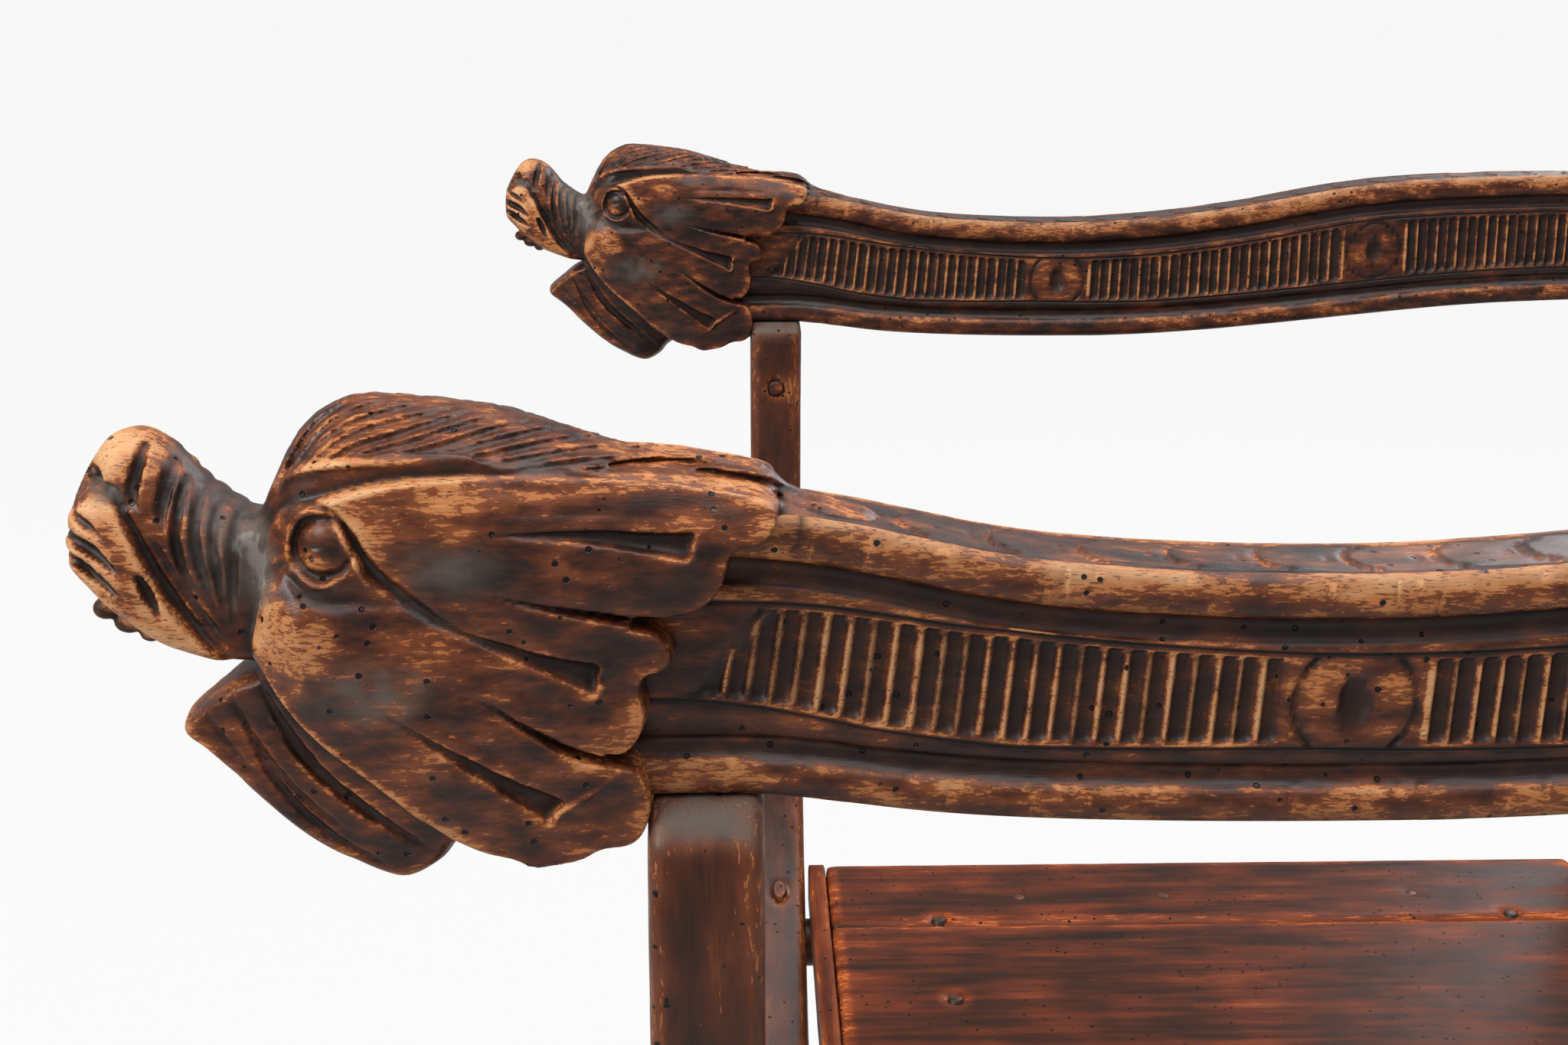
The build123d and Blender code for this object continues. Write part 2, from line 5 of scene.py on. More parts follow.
import bmesh
import bpy
import numpy as np
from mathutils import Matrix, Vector


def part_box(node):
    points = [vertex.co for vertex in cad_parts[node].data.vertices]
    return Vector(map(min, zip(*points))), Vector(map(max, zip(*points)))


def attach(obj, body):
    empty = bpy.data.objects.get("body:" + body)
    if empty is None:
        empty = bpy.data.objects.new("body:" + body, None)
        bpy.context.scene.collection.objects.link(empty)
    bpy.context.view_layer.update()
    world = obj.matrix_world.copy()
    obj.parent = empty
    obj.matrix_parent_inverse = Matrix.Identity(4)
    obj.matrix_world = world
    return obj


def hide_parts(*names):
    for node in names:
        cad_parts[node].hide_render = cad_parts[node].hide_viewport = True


# Looks of the folding walnut armchair. Shapes are worked out in millimetres and made in metres.
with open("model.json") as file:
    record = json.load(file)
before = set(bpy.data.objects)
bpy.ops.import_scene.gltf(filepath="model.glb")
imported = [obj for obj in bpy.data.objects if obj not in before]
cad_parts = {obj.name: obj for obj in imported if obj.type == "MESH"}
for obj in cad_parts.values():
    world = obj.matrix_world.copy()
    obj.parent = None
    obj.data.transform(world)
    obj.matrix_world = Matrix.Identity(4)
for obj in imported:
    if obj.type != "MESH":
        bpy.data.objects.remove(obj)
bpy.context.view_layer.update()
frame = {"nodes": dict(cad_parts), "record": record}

MM = 0.001

# ---- Places on the frame, in millimetres ----
HALF_ARM = 291.0
ARM_UNDERSIDE = 682.0
ARM_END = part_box("left_arm")[1].y / MM
FRONT = {side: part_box(side + "_front_slat")[0].y / MM for side in ("right", "left")}
SIDE_SIGN = {"right": 1.0, "left": -1.0}
BACK_PEG_UP = sum(corner.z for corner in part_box("left_back_peg")) / 2 / MM
BACK_BORE_REACH = 8.6      # from the peg's axis to just past the bore's wall
BACK_BORE_ROOM = 0.45      # widening of the back board's bore round its peg

# ---- Fineness of the carved meshes ----
CARVING_CELL = 0.64
COARSENESS = 1.0
HEAD_TRIANGLES = 196000

HEAD_WEAR = 0.31
FAR_ARM_SHADE = {"right": 0, "left": 0.07}       # the far left arm is painted darker, as shade


# ================= Camera, stage and light =================

CAMERA_LENS = 44.42
CAMERA_PLACE = (0.6992, -0.20955, 0.8602)
CAMERA_DIP = 16.26         # degrees under the level
CAMERA_SWING = 1.32        # degrees off square to the arms' sides


def add_object(name, data):
    made = bpy.data.objects.new(name, data)
    bpy.context.scene.collection.objects.link(made)
    return made


def add_camera():
    """Camera above the right arm's head, looking across both arms."""
    data = bpy.data.cameras.new("eye")
    data.lens = CAMERA_LENS
    data.sensor_width = 36.0
    data.clip_start = 0.02
    data.clip_end = 1000.0
    camera = add_object("eye", data)
    camera.location = CAMERA_PLACE
    camera.rotation_euler = (math.radians(90 - CAMERA_DIP), 0, math.radians(90 - CAMERA_SWING))
    bpy.context.scene.camera = camera


def add_lamp(name, place, target, size, power, colour):
    """Square soft lamp at a place, facing a target."""
    data = bpy.data.lights.new(name, "AREA")
    data.shape = "SQUARE"
    data.size = size
    data.energy = power
    data.color = colour
    lamp = add_object(name, data)
    lamp.location = place
    lamp.rotation_mode = "QUATERNION"
    lamp.rotation_quaternion = (Vector(target) - Vector(place)).to_track_quat("-Z", "Y")


# ================= Node trees and materials =================

def operator(operation, swapped=False):
    """Method that adds one Math node."""
    def apply(self, other):
        pair = (other, self) if swapped else (self, other)
        return self.tree.node("ShaderNodeMath", dict(enumerate(pair)), operation=operation)
    return apply


class Socket:
    """One output socket of a node tree, with operators that add Math nodes."""

    def __init__(self, tree, socket):
        self.tree = tree
        self.socket = socket

    __add__, __radd__ = operator("ADD"), operator("ADD", True)
    __sub__, __rsub__ = operator("SUBTRACT"), operator("SUBTRACT", True)
    __mul__, __rmul__ = operator("MULTIPLY"), operator("MULTIPLY", True)
    __truediv__ = operator("DIVIDE")

    def between(self, low, high):
        """Smooth step from nought at low to one at high."""
        return self.tree.node("ShaderNodeMapRange", {0: self, 1: low, 2: high, 3: 0, 4: 1.0},
                              interpolation_type="SMOOTHSTEP")


class Tree:
    """A node tree under construction."""

    def __init__(self, nodes):
        self.nodes = nodes

    def put(self, target, value):
        """Links or sets one input socket."""
        if isinstance(value, Socket):
            self.nodes.links.new(value.socket, target)
        elif isinstance(value, tuple) and target.type == "RGBA":
            target.default_value = (*value, 1)
        else:
            target.default_value = value

    def node(self, kind, inputs=None, out=0, stops=(), **settings):
        """Adds a node: its settings and ramp stops first, then its inputs."""
        made = self.nodes.nodes.new(kind)
        for name, value in settings.items():
            setattr(made, name, value)
        for _ in stops[2:]:
            made.color_ramp.elements.new(0.5)
        for index, (position, colour) in enumerate(stops):
            made.color_ramp.elements[index].position = position
            made.color_ramp.elements[index].color = (*colour, 1)
        for key, value in (inputs or {}).items():
            self.put(made.inputs[key], value)
        return Socket(self, made.outputs[out])

    def vector_math(self, operation, first, second):
        return self.node("ShaderNodeVectorMath", {0: first, 1: second}, operation=operation)


class Finish(Tree):
    """A material under construction, with one shader."""

    def __init__(self, name):
        self.material = bpy.data.materials.new(name)
        self.material.use_nodes = True
        super().__init__(self.material.node_tree)
        self.nodes.nodes.clear()
        self.output = self.nodes.nodes.new("ShaderNodeOutputMaterial")
        self.shader = self.nodes.nodes.new("ShaderNodeBsdfPrincipled")
        self.nodes.links.new(self.shader.outputs[0], self.output.inputs["Surface"])

    def noise(self, place, across, length, detail, rough):
        """Noise from nought to one, with its own size in metres across and along the grain."""
        scaled = self.vector_math("MULTIPLY", place, (1 / across, 1 / across, 1 / length))
        return self.node("ShaderNodeTexNoise", {"Vector": scaled, "Scale": 1, "Detail": detail, "Roughness": rough},
                         out="Fac")

    def attribute(self, name, out="Fac"):
        return self.node("ShaderNodeAttribute", out=out, attribute_name=name)

    def mix(self, first, second, factor):
        """Colour between two colours."""
        return self.node("ShaderNodeMix", {0: factor, 6: first, 7: second}, out=2, data_type="RGBA")

    def ramp(self, value, stops, tint):
        """Colour from tinted stops."""
        stops = [(position, tuple(part * share for part, share in zip(colour, tint))) for position, colour in stops]
        return self.node("ShaderNodeValToRGB", {0: value}, stops=stops)

    def shade(self, **inputs):
        for name, value in inputs.items():
            self.put(self.shader.inputs[name.replace("_", " ")], value)
        return self.material


# Colours of the wax and dirt from the deepest to the thinnest, and of the bare wood from fresh chips to rubbed
# ridges.
SOOT = (0.0150, 0.0082, 0.0060)
DARK = (0.034, 0.0135, 0.0085)
RUST = (0.078, 0.0215, 0.0095)
RUSSET = (0.150, 0.0420, 0.0150)
THIN = (0.235, 0.0640, 0.0190)
AMBER = (0.345, 0.092, 0.0235)
TAN = (0.470, 0.172, 0.053)
PALE = (0.600, 0.318, 0.148)
DUST = (0.110, 0.093, 0.078)
LINT = (0.36, 0.34, 0.31)
# Painted shade inside the beetle holes.
HOLE_SHADE = (0.003, 0.002, 0.002)
FILM_STOPS = [(0.02, SOOT), (0.20, DARK), (0.36, RUST), (0.52, RUSSET), (0.68, THIN)]
BARE_STOPS = [(0.40, AMBER), (0.66, TAN), (0.96, PALE)]
PEG_TINT = (1.15, 1.1, 1)
SEAT_TINT = (1.26, 0.95, 0.76)
WORM_CELL = 0.0060
WORM_RADIUS = 0.00070
BUMP_DEPTH = 0.00035


def worm_holes(finish, place):
    """One inside the round beetle holes, nought elsewhere."""
    vector = finish.vector_math("MULTIPLY", place, (1 / WORM_CELL, 1 / WORM_CELL, 1 / WORM_CELL))
    distance = finish.node("ShaderNodeTexVoronoi", {"Vector": vector, "Scale": 1, "Randomness": 1.0},
                           out="Distance")
    share = WORM_RADIUS / WORM_CELL
    return 1.0 - distance.between(share * 0.8, share * 1.15)


def old_finish(name, chip_size=(0.0009, 0.0034), patch_size=(0.0050, 0.013), streaks=0, tint=(1, 1, 1),
               sheen=0.30, mottle=1, plain=False):
    """Old waxed walnut: black in the hollows, a brown film on the faces chipped to bare wood, rubbed pale on ridges.

    The third number of the pieces' grain attribute runs along the wood's fibres. A plain finish is for pieces
    without finish values of their own."""
    finish = Finish(name)
    if plain:
        place = finish.node("ShaderNodeTexCoord", out="Object")
        worn, hollow, dust = 0.40, 0, 0.0
    else:
        place = finish.attribute("grain", "Vector")
        worn, hollow, dust = map(finish.attribute, ("worn", "hollow", "dust"))
    chip = finish.noise(place, *chip_size, 5, 0.66)
    patch = finish.noise(place, *patch_size, 3, 0.6)
    cloud = finish.noise(place, 0.019, 0.034, 2, 0.5)
    fibre = finish.noise(place, 0.00035, 0.009, 3, 0.6)
    pore = finish.noise(place, 0.0005, 0.0026, 2, 0.5)
    blotch = (patch - 0.5) * (1.25 * mottle) + (cloud - 0.5) * (0.8 * mottle)
    tone = blotch * 0.85 + worn + (fibre - 0.5) * 0.22
    if streaks:
        tone = tone + (finish.noise(place, 0.006, 0.16, 3, 0.6) - 0.5) * streaks
    film = finish.ramp(tone, FILM_STOPS, tint)
    bare = ((chip - 0.5) * 1.45 + blotch * 0.75 + worn).between(0.59, 0.62)
    wood = finish.ramp(blotch * 0.55 + worn + (fibre - 0.5) * 0.5, BARE_STOPS, tint)
    wood = finish.mix(wood, RUST, pore.between(0.59, 0.66) * 0.7)
    colour = finish.mix(film, wood, bare)
    colour = finish.mix(colour, SOOT, hollow * 0.93)
    dirt = (dust * (0.45 + cloud * 0.9)).between(0.10, 0.85) * 0.85
    grey = DUST if plain else finish.mix(DUST, LINT, dust.between(0.85, 1.2))
    colour = finish.mix(colour, grey, dirt)
    # The beetle holes are only a shallow bump; their black inside is painted shade.
    holes = worm_holes(finish, place) * cloud.between(0.44, 0.47)
    colour = finish.mix(colour, HOLE_SHADE, holes)
    roughness = 0.29 + bare * 0.20 + dirt * 0.42 + hollow * 0.22 + (patch - 0.5) * 0.30
    height = fibre * 0.16 + chip * 0.10 - bare * 0.26 - holes * 3.0
    bump = finish.node("ShaderNodeBump", {"Height": height, "Strength": 1, "Distance": BUMP_DEPTH}, out="Normal")
    return finish.shade(Base_Color=colour, Roughness=roughness, Specular_IOR_Level=sheen, Normal=bump)


# ================= Mesh making =================

def lumps(points, size, seed):
    """Smooth noise from -1 to 1 at an array of points, with lumps of a given size along each axis."""
    lattice = np.random.default_rng(seed).random((32, 32, 32)) * 2 - 1
    places = points / np.broadcast_to(np.asarray(size, float), 3)
    base = np.floor(places).astype(int)
    share = places - base
    share = share * share * (3 - 2 * share)
    total = np.zeros(points.shape[:-1])
    for corner in itertools.product((0, 1), repeat=3):
        weight = np.prod(np.where(corner, share, 1 - share), axis=-1)
        index = (base + corner) % 32
        total += weight * lattice[index[..., 0], index[..., 1], index[..., 2]]
    return total


def gathered(index, rows, size):
    """Sum of the rows that have the same index."""
    return np.stack([np.bincount(index, column, size) for column in rows.T], -1)


def net_skin(field, low, cell):
    """Closed quad mesh of the surface where a field on a grid passes through nought."""
    solid = field < 0
    shape = np.array(field.shape) - 1
    cells = int(np.prod(shape))
    total = np.zeros((cells, 3))
    count = np.zeros(cells)
    quads = []
    for axis in range(3):
        near, far = [slice(None)] * 3, [slice(None)] * 3
        near[axis] = slice(None, -1)
        far[axis] = slice(1, None)
        spots = np.argwhere(solid[tuple(near)] != solid[tuple(far)])
        spots = spots[np.all(spots > 0, axis=1) & np.all(spots < shape, axis=1)]
        first = field[tuple(spots.T)]
        second = field[tuple((spots + np.eye(3, dtype=int)[axis]).T)]
        crossing = spots.astype(float)
        crossing[:, axis] += first / (first - second)
        corners = []
        for move, lift in ((-1, -1), (0, -1), (0, 0), (-1, 0)):
            around = spots.copy()
            around[:, (axis + 1) % 3] += move
            around[:, (axis + 2) % 3] += lift
            flat = np.ravel_multi_index(tuple(around.T), tuple(shape))
            corners.append(flat)
            total += gathered(flat, crossing, cells)
            count += np.bincount(flat, minlength=cells)
        faces = np.stack(corners, axis=1)
        faces[first > 0] = faces[first > 0][:, ::-1]
        quads.append(faces)
    used = count > 0
    number = np.cumsum(used) - 1
    points = np.asarray(low) + total[used] / count[used][:, None] * cell
    return points, number[np.concatenate(quads)]


def edge_pairs(quads):
    """Each edge of a quad mesh once."""
    pairs = np.concatenate([quads[:, [corner, (corner + 1) % 4]] for corner in range(4)])
    return np.unique(np.sort(pairs, axis=1), axis=0)


def relax(values, pairs, rounds, weight=0.5):
    """Evens out values over a mesh by averaging each with its neighbours."""
    size = len(values)
    degree = np.bincount(pairs.ravel(), minlength=size)[:, None].clip(1)
    values = values.copy()
    for _ in range(rounds):
        total = (gathered(pairs[:, 0], values[pairs[:, 1]], size) + gathered(pairs[:, 1], values[pairs[:, 0]], size))
        values += (total / degree - values) * weight
    return values


def vertex_normals(points, quads):
    """Outward direction at each vertex."""
    normal = np.cross(points[quads[:, 2]] - points[quads[:, 0]], points[quads[:, 3]] - points[quads[:, 1]])
    total = sum(gathered(quads[:, corner], normal, len(points)) for corner in range(4))
    return total / np.linalg.norm(total, axis=1, keepdims=True).clip(1e-9)


def relief(points, quads, pairs, rounds):
    """How far each vertex stands out of the evened surface: ridges above nought, hollows below."""
    standing = points - relax(points, pairs, rounds)
    return np.einsum("ij,ij->i", standing, vertex_normals(points, quads))


def step_up(value, low, high):
    """Smooth step from nought at low to one at high."""
    share = np.clip((value - low) / (high - low), 0, 1)
    return share * share * (3 - 2 * share)


def dome(share):
    """Round profile: nought at nought, one at one, upright at its foot."""
    return np.sqrt(share * (2 - share))


def write_layers(mesh, layers):
    for label, values in layers.items():
        mesh.attributes.new(label, "FLOAT", "POINT").data.foreach_set("value", np.asarray(values, np.float32))


def read_rows(items, label, width, kind=float):
    """Values of a mesh's items as an array with so many columns."""
    rows = np.empty(len(items) * width, kind)
    items.foreach_get(label, rows)
    return rows.reshape(-1, width)


def new_mesh(name, points, faces=()):
    """Mesh from an array of points and its faces."""
    mesh = bpy.data.meshes.new(name)
    mesh.from_pydata(points.tolist(), [], faces)
    return mesh


def solved_mesh(holder):
    """The mesh of an object as its modifiers leave it. The object and its own mesh are removed."""
    made = bpy.data.meshes.new_from_object(holder.evaluated_get(bpy.context.evaluated_depsgraph_get()))
    plain = holder.data
    bpy.data.objects.remove(holder)
    bpy.data.meshes.remove(plain)
    return made


def finished_object(name, mesh, worn, hollow, dust, grain):
    """Object of a mesh, with its finish values and its grain directions in millimetres."""
    write_layers(mesh, {"worn": worn, "hollow": hollow, "dust": dust})
    grain_layer = mesh.attributes.new("grain", "FLOAT_VECTOR", "POINT")
    grain_layer.data.foreach_set("vector", np.asarray(grain * MM, np.float32).ravel())
    mesh.polygons.foreach_set("use_smooth", np.full(len(mesh.polygons), True))
    return add_object(name, mesh)


def make_piece(name, points, faces, material, worn, hollow, dust, grain):
    """Object from points in millimetres and its faces, its finish values kept between nought and one."""
    mesh = new_mesh(name, points * MM, faces)
    mesh.update()
    mesh.materials.append(material)
    return finished_object(name, mesh, worn.clip(0, 1), hollow.clip(0, 1), dust.clip(0, 1), grain)


# ================= Side-view drawing tools =================

def smooth_line(points, closed=False, per_span=6):
    """Points along a rounded line through the given ones."""
    points = np.asarray(points, float)
    if closed:
        points = np.concatenate([points[-1:], points, points[:2]])
    else:
        points = np.concatenate([2 * points[:1] - points[1:2], points, 2 * points[-1:] - points[-2:-1]])
    share = np.arange(per_span)[:, None] / per_span
    line = [0.5 * (2 * start + (end - before) * share + (2 * before - 5 * start + 4 * end - after) * share**2
                   + (3 * start - before - 3 * end + after) * share**3)
            for before, start, end, after in zip(points, points[1:], points[2:], points[3:])]
    line = np.concatenate(line)
    return line if closed else np.concatenate([line, points[-2:-1]])


PROFILES = {
    "vee": lambda share: share,
    "round": lambda share: np.sqrt(np.clip(1 - (1 - share) ** 2, 0, 1)),
    "soft": lambda share: share * share * (3 - 2 * share),
}


class SideView:
    """Places in the side view: how far ahead and how far up each one lies."""

    def __init__(self, ahead, up):
        self.ahead = ahead
        self.up = up

    def near(self, line):
        """Distance of each place to a line, and how far along it the nearest point lies, as a share."""
        line = np.asarray(line, float)
        lengths = np.linalg.norm(np.diff(line, axis=0), axis=1)
        run = np.concatenate([[0], np.cumsum(lengths)])
        nearest = np.full(self.ahead.shape, 1e9)
        along = np.zeros(self.ahead.shape)
        for index, (start, end) in enumerate(zip(line, line[1:])):
            step = end - start
            ahead, up = self.ahead - start[0], self.up - start[1]
            share = np.clip((ahead * step[0] + up * step[1]) / max(step @ step, 1e-9), 0, 1)
            distance = np.hypot(ahead - share * step[0], up - share * step[1])
            closer = distance < nearest
            nearest = np.where(closer, distance, nearest)
            along = np.where(closer, run[index] + share * lengths[index], along)
        return nearest, along / run[-1]

    def inside(self, outline):
        """Distance of each place inside a closed outline, less than nought outside it."""
        closed = np.concatenate([outline, outline[:1]])
        distance, _ = self.near(closed)
        inside = np.zeros(self.ahead.shape, bool)
        for start, end in zip(closed, closed[1:]):
            spans = (start[1] > self.up) != (end[1] > self.up)
            rise = end[1] - start[1]
            crossing = start[0] + (self.up - start[1]) / (rise if abs(rise) > 1e-9 else 1e-9) * (end[0] - start[0])
            inside ^= spans & (self.ahead < crossing)
        return np.where(inside, distance, -distance)

    def sheets(self, marks):
        """Smooth sheets through values given at marks: each mark is a place and its values."""
        marks = np.asarray(marks, float)
        places, values = marks[:, :2], marks[:, 2:]

        def kernel(squared):
            return squared * np.log(squared + 1e-9)

        size = len(marks)
        matrix = np.zeros((size + 3, size + 3))
        matrix[:size, :size] = kernel(((places[:, None] - places[None]) ** 2).sum(-1)) + np.eye(size) * 2.0
        matrix[:size, size] = matrix[size, :size] = 1
        matrix[:size, size + 1:] = places
        matrix[size + 1:, :size] = places.T
        sheets = []
        for weights in np.linalg.solve(matrix, np.concatenate([values, np.zeros((3, values.shape[1]))])).T:
            sheet = weights[size] + weights[size + 1] * self.ahead + weights[size + 2] * self.up
            for (ahead, up), weight in zip(places, weights):
                sheet += weight * kernel((self.ahead - ahead) ** 2 + (self.up - up) ** 2)
            sheets.append(sheet)
        return sheets

    def cut(self, line, widths, depths, profile="round", stop=None):
        """Depth of a tapering cut or height of a tapering roll along a line, which may stop square at its end."""
        distance, along = self.near(smooth_line(line) if len(line) > 2 else line)
        width, depth = (np.interp(along, np.linspace(0, 1, len(sizes)), sizes) for sizes in (widths, depths))
        share = PROFILES[profile](np.clip(1 - distance / np.maximum(width / 2, 1e-3), 0, 1))
        if stop is not None:
            past = (self.ahead - line[-1][0]) * stop[0] + (self.up - line[-1][1]) * stop[1]
            share = share * (1 - step_up(past / math.hypot(*stop), -0.3, 0.3))
        return depth * share

    def soft(self, line, widths, depths):
        return self.cut(line, widths, depths, "soft")

    def hump(self, centre, radii, height, turn=0):
        """Height of an egg-shaped bump, or a hollow if the height is below nought."""
        c, s = math.cos(turn), math.sin(turn)
        right, rise = self.ahead - centre[0], self.up - centre[1]
        first = (right * c + rise * s) / radii[0]
        second = (-right * s + rise * c) / radii[1]
        return height * np.sqrt(np.clip(1 - first**2 - second**2, 0, None))


# ================= Carved beast's head =================
# Side view: first number is millimetres ahead of the front slat, second is above the arm's underside.

CORE_OUTLINE = [
    (123.4, 60), (122.8, 65.8), (120.4, 71), (117.8, 75.6), (114.8, 79.2), (110.6, 81.2), (106.2, 80.8),
    (102, 78.4), (98.4, 74.8), (94.6, 70.2), (89.5, 66.2), (84.8, 63.4), (82.6, 64.2), (80, 69.4), (76.2, 77),
    (71.8, 82.8), (66.4, 86.6), (60, 88.5), (50, 88.1), (37, 86.4), (29, 84.8), (20, 82.2), (8, 78.8),
    (-5, 76), (-17, 74.6), (-24, 73.4), (-27.6, 71.6), (-31, 68.4), (-36, 66), (-43, 63.9),
    (-49, 62.2), (-52, 59), (-46, 57), (-20, 56), (2, 56), (7, 40), (7, 20), (8, 6),
    (20, -1), (40, -10.8), (46.2, -17.2), (53.2, -20.6), (60, -19), (68, -14.8), (75.8, -9.6),
    (83.4, -3.2), (89.6, 2.8), (96.4, 8.8), (101.6, 13), (102.4, 16.4), (99.8, 19.4), (94.6, 23.6), (89.8, 27.4),
    (85.2, 30.2), (88, 30.8), (92, 31.9), (98, 34), (104, 36.6), (109, 39.8), (113.4, 43.2),
    (117.8, 47.6), (122, 52.2), (123.2, 56),
]
# Half thickness and edge rounding at places on the core.
CORE_MARKS = [
    (121, 62, 11, 5), (116, 76, 10, 6), (109, 79, 11, 7), (106, 70, 13.4, 9), (99, 72, 13, 8),
    (118, 52, 13.5, 3.6), (112, 46, 15, 3.6), (100, 39, 15, 3.6), (92, 36, 15, 4), (95, 60, 14.6, 9),
    (88, 58, 13.2, 8), (83.5, 58, 11, 6), (83.5, 48, 11.6, 6), (85, 38, 13, 5), (80, 68, 13.5, 7), (76, 76, 15, 9),
    (70, 82, 17, 11), (62, 85, 18.5, 13), (50, 84, 19.5, 13), (38, 82, 19.5, 10), (25, 80, 19, 11),
    (10, 76, 18, 12), (-5, 74, 17.5, 13), (-20, 72, 16.5, 13), (-30, 68, 12.5, 8), (-46, 63, 11, 6),
    (75, 60, 17, 8), (60, 60, 19, 8), (30, 60, 17, 6), (8, 55, 9, 6), (10, 30, 9, 6), (15, 5, 9, 6),
    (-20, 60, 12, 4), (-36, 60, 11.5, 3), (80, 30, 15, 5), (88, 25, 13, 3), (98, 18, 11, 2.6),
    (90, 8, 13.5, 3.4), (82, 3, 15, 3.6), (74, -2, 16, 3.8), (66, -10, 16, 3.8), (57, -14, 15.5, 3.8),
    (48, -14, 14, 3.8), (60, 14, 19, 6), (45, 4, 17, 6), (30, 0, 13, 5),
]
LEAF_OUTLINE = [
    (66.4, 70.9), (56, 73.8), (45.7, 75.2), (32.5, 75.6), (19.2, 74.9), (6, 74), (-6.3, 73.1), (-16.5, 71.6),
    (-24, 70), (-28.3, 67.6), (-28.6, 63.8), (-25.7, 60.1), (-21.6, 59.3), (-19, 57.2), (-17.6, 51.9),
    (-14.2, 47), (-7.3, 44), (0.5, 44.6), (1.6, 42.6), (-4.1, 40.4), (-6.5, 35.4), (-4.5, 32), (-0.8, 30.7),
    (0.1, 27.6), (-0.5, 22.4), (0.9, 16.7), (4.3, 13.3), (8, 13.4), (7.4, 11.8), (1.4, 9.2), (-0.6, 5.4),
    (-1.2, -0.6), (0.2, -6), (3.4, -8.8), (9.6, -9.6), (14.6, -12), (23.9, -13.6), (29.8, -11.4), (35.6, -10.2),
    (41, -7.6), (47.5, -3), (54.6, 3.2), (62.5, 10.6), (70.6, 17.8), (76.5, 24.8), (81.3, 31.6), (83.6, 36),
    (82.4, 42), (80.9, 48), (79.6, 54), (78.6, 60), (76.6, 65.6), (72.5, 68.8),
]
LEAF_MARKS = [
    (70, 46, 26.8, 6), (66, 36, 26.6, 4), (76, 40, 24.6, 6), (80, 36, 21, 4.5), (79, 48, 22, 6),
    (77, 58, 18.5, 6), (73, 64, 19.5, 5), (67, 60, 22.4, 5), (66, 69, 22.2, 3), (55, 71, 22.8, 2.6),
    (55, 62, 24.2, 3), (45, 68, 24, 2.4), (40, 58, 24.8, 3), (30, 70, 22.8, 2.2), (20, 60, 24.4, 2.2),
    (0, 66, 22, 2), (-15, 65, 21.4, 2), (30, 75, 19.6, 2), (10, 73, 18.2, 1.8), (-8, 71.5, 17.6, 1.8),
    (-22, 69, 17.8, 1.8), (-27, 64, 20.2, 1.6), (-10, 50, 22.8, 1.8), (40, 47, 24.2, 2.2), (55, 50, 23.4, 3),
    (50, 40, 25.2, 3), (30, 38, 24.6, 2.2), (10, 36, 23.6, 2), (-4, 36, 21.8, 1.8), (45, 25, 25.6, 2.2),
    (60, 25, 25.8, 2.2), (70, 28, 25.2, 2.4), (30, 15, 24.6, 2), (10, 20, 23.2, 2), (1, 18, 21.8, 1.8),
    (45, 8, 24, 2), (30, -2, 22.8, 1.8), (15, -4, 22, 1.8), (3, 0, 21, 1.8), (40, -4, 22, 1.8),
    (55, 12, 24, 2), (81, 33, 19.6, 2.6),
]
LEAF_BACK = 15.5      # half thickness at which the leaf's edge rises from the core
LEAF_FRONT = 26.8     # half thickness at the cheek
LOBE_EDGE = [(68, 71.4), (63.6, 70.2), (58.6, 66), (53.8, 60.2), (48.6, 54.8), (44, 51)]
BROW_LINE = [(81, 66.8), (78.1, 70.4), (73.8, 74), (68.4, 76.4), (60.2, 77.8), (48, 78.2), (34.7, 78.6)]
EYE = (65.7, 60.6)
LID = [(73, 55.6), (73.4, 59), (72.4, 63.4), (70, 67.6), (66.4, 68.6)]
# The thin lid ridge over the eye, and the dark furrow outside it that runs down to the middle gouge.
LID_RIDGE = [(66, 68.4), (63.2, 67.2), (61.2, 63.6), (59.4, 59.4), (57.9, 55.6), (56.4, 52.6)]
LID_FURROW = [
    (71, 69.6), (67.6, 70), (63.8, 67.9), (60.4, 64), (57.3, 58.6), (54, 54), (48.7, 49.2), (43.1, 45.4),
    (38, 43.2),
]
LIP = [(124, 57), (118.6, 61), (114.4, 60.6), (109.4, 54.6), (105.4, 48.4), (101.4, 42.4), (96.4, 37.8),
       (90, 34)]
LIP_EDGE = [(125, 64), (119.6, 66.8), (116.4, 68.6), (113.2, 68.8), (110.4, 67), (108.2, 63.8), (105.2, 57.6),
            (100.8, 48.2), (96, 40.8), (90.4, 35)]
UNDER_LIP = [(89, 30), (125, 40)]

# Each stroke is its line, width and depth.
LIP_FURROWS = (
    ([(110.6, 68), (108.4, 65.4), (106.4, 62), (103.6, 56.1), (100.3, 49.6), (97, 43.8), (93.4, 38.8),
      (89.2, 33.8)], 2, 1.6),
    ([(102.4, 59.6), (100.4, 55.6), (97.8, 50), (94.4, 44.2), (91, 39.4), (87.6, 35.5)], 1.7, 1.2),
    ([(97.2, 55), (95.2, 50.4), (92.4, 45.6), (89.4, 41.4), (86.4, 38)], 1.3, 0.8),
)
LIP_GOUGES = (
    ([(120.6, 65.8), (118.2, 64.8), (115.7, 63.4), (112.5, 61)], 2.2, 1.5),
    ([(122.4, 61.4), (118.9, 60), (114.4, 57.7), (109.5, 53.9)], 3.2, 2.3),
    ([(123, 57.4), (119.5, 55.8), (114.2, 52.3), (108.9, 48.5)], 2.9, 2.2),
    ([(105.3, 53), (103.3, 48.2), (101.4, 43.4)], 2.6, 2),
)
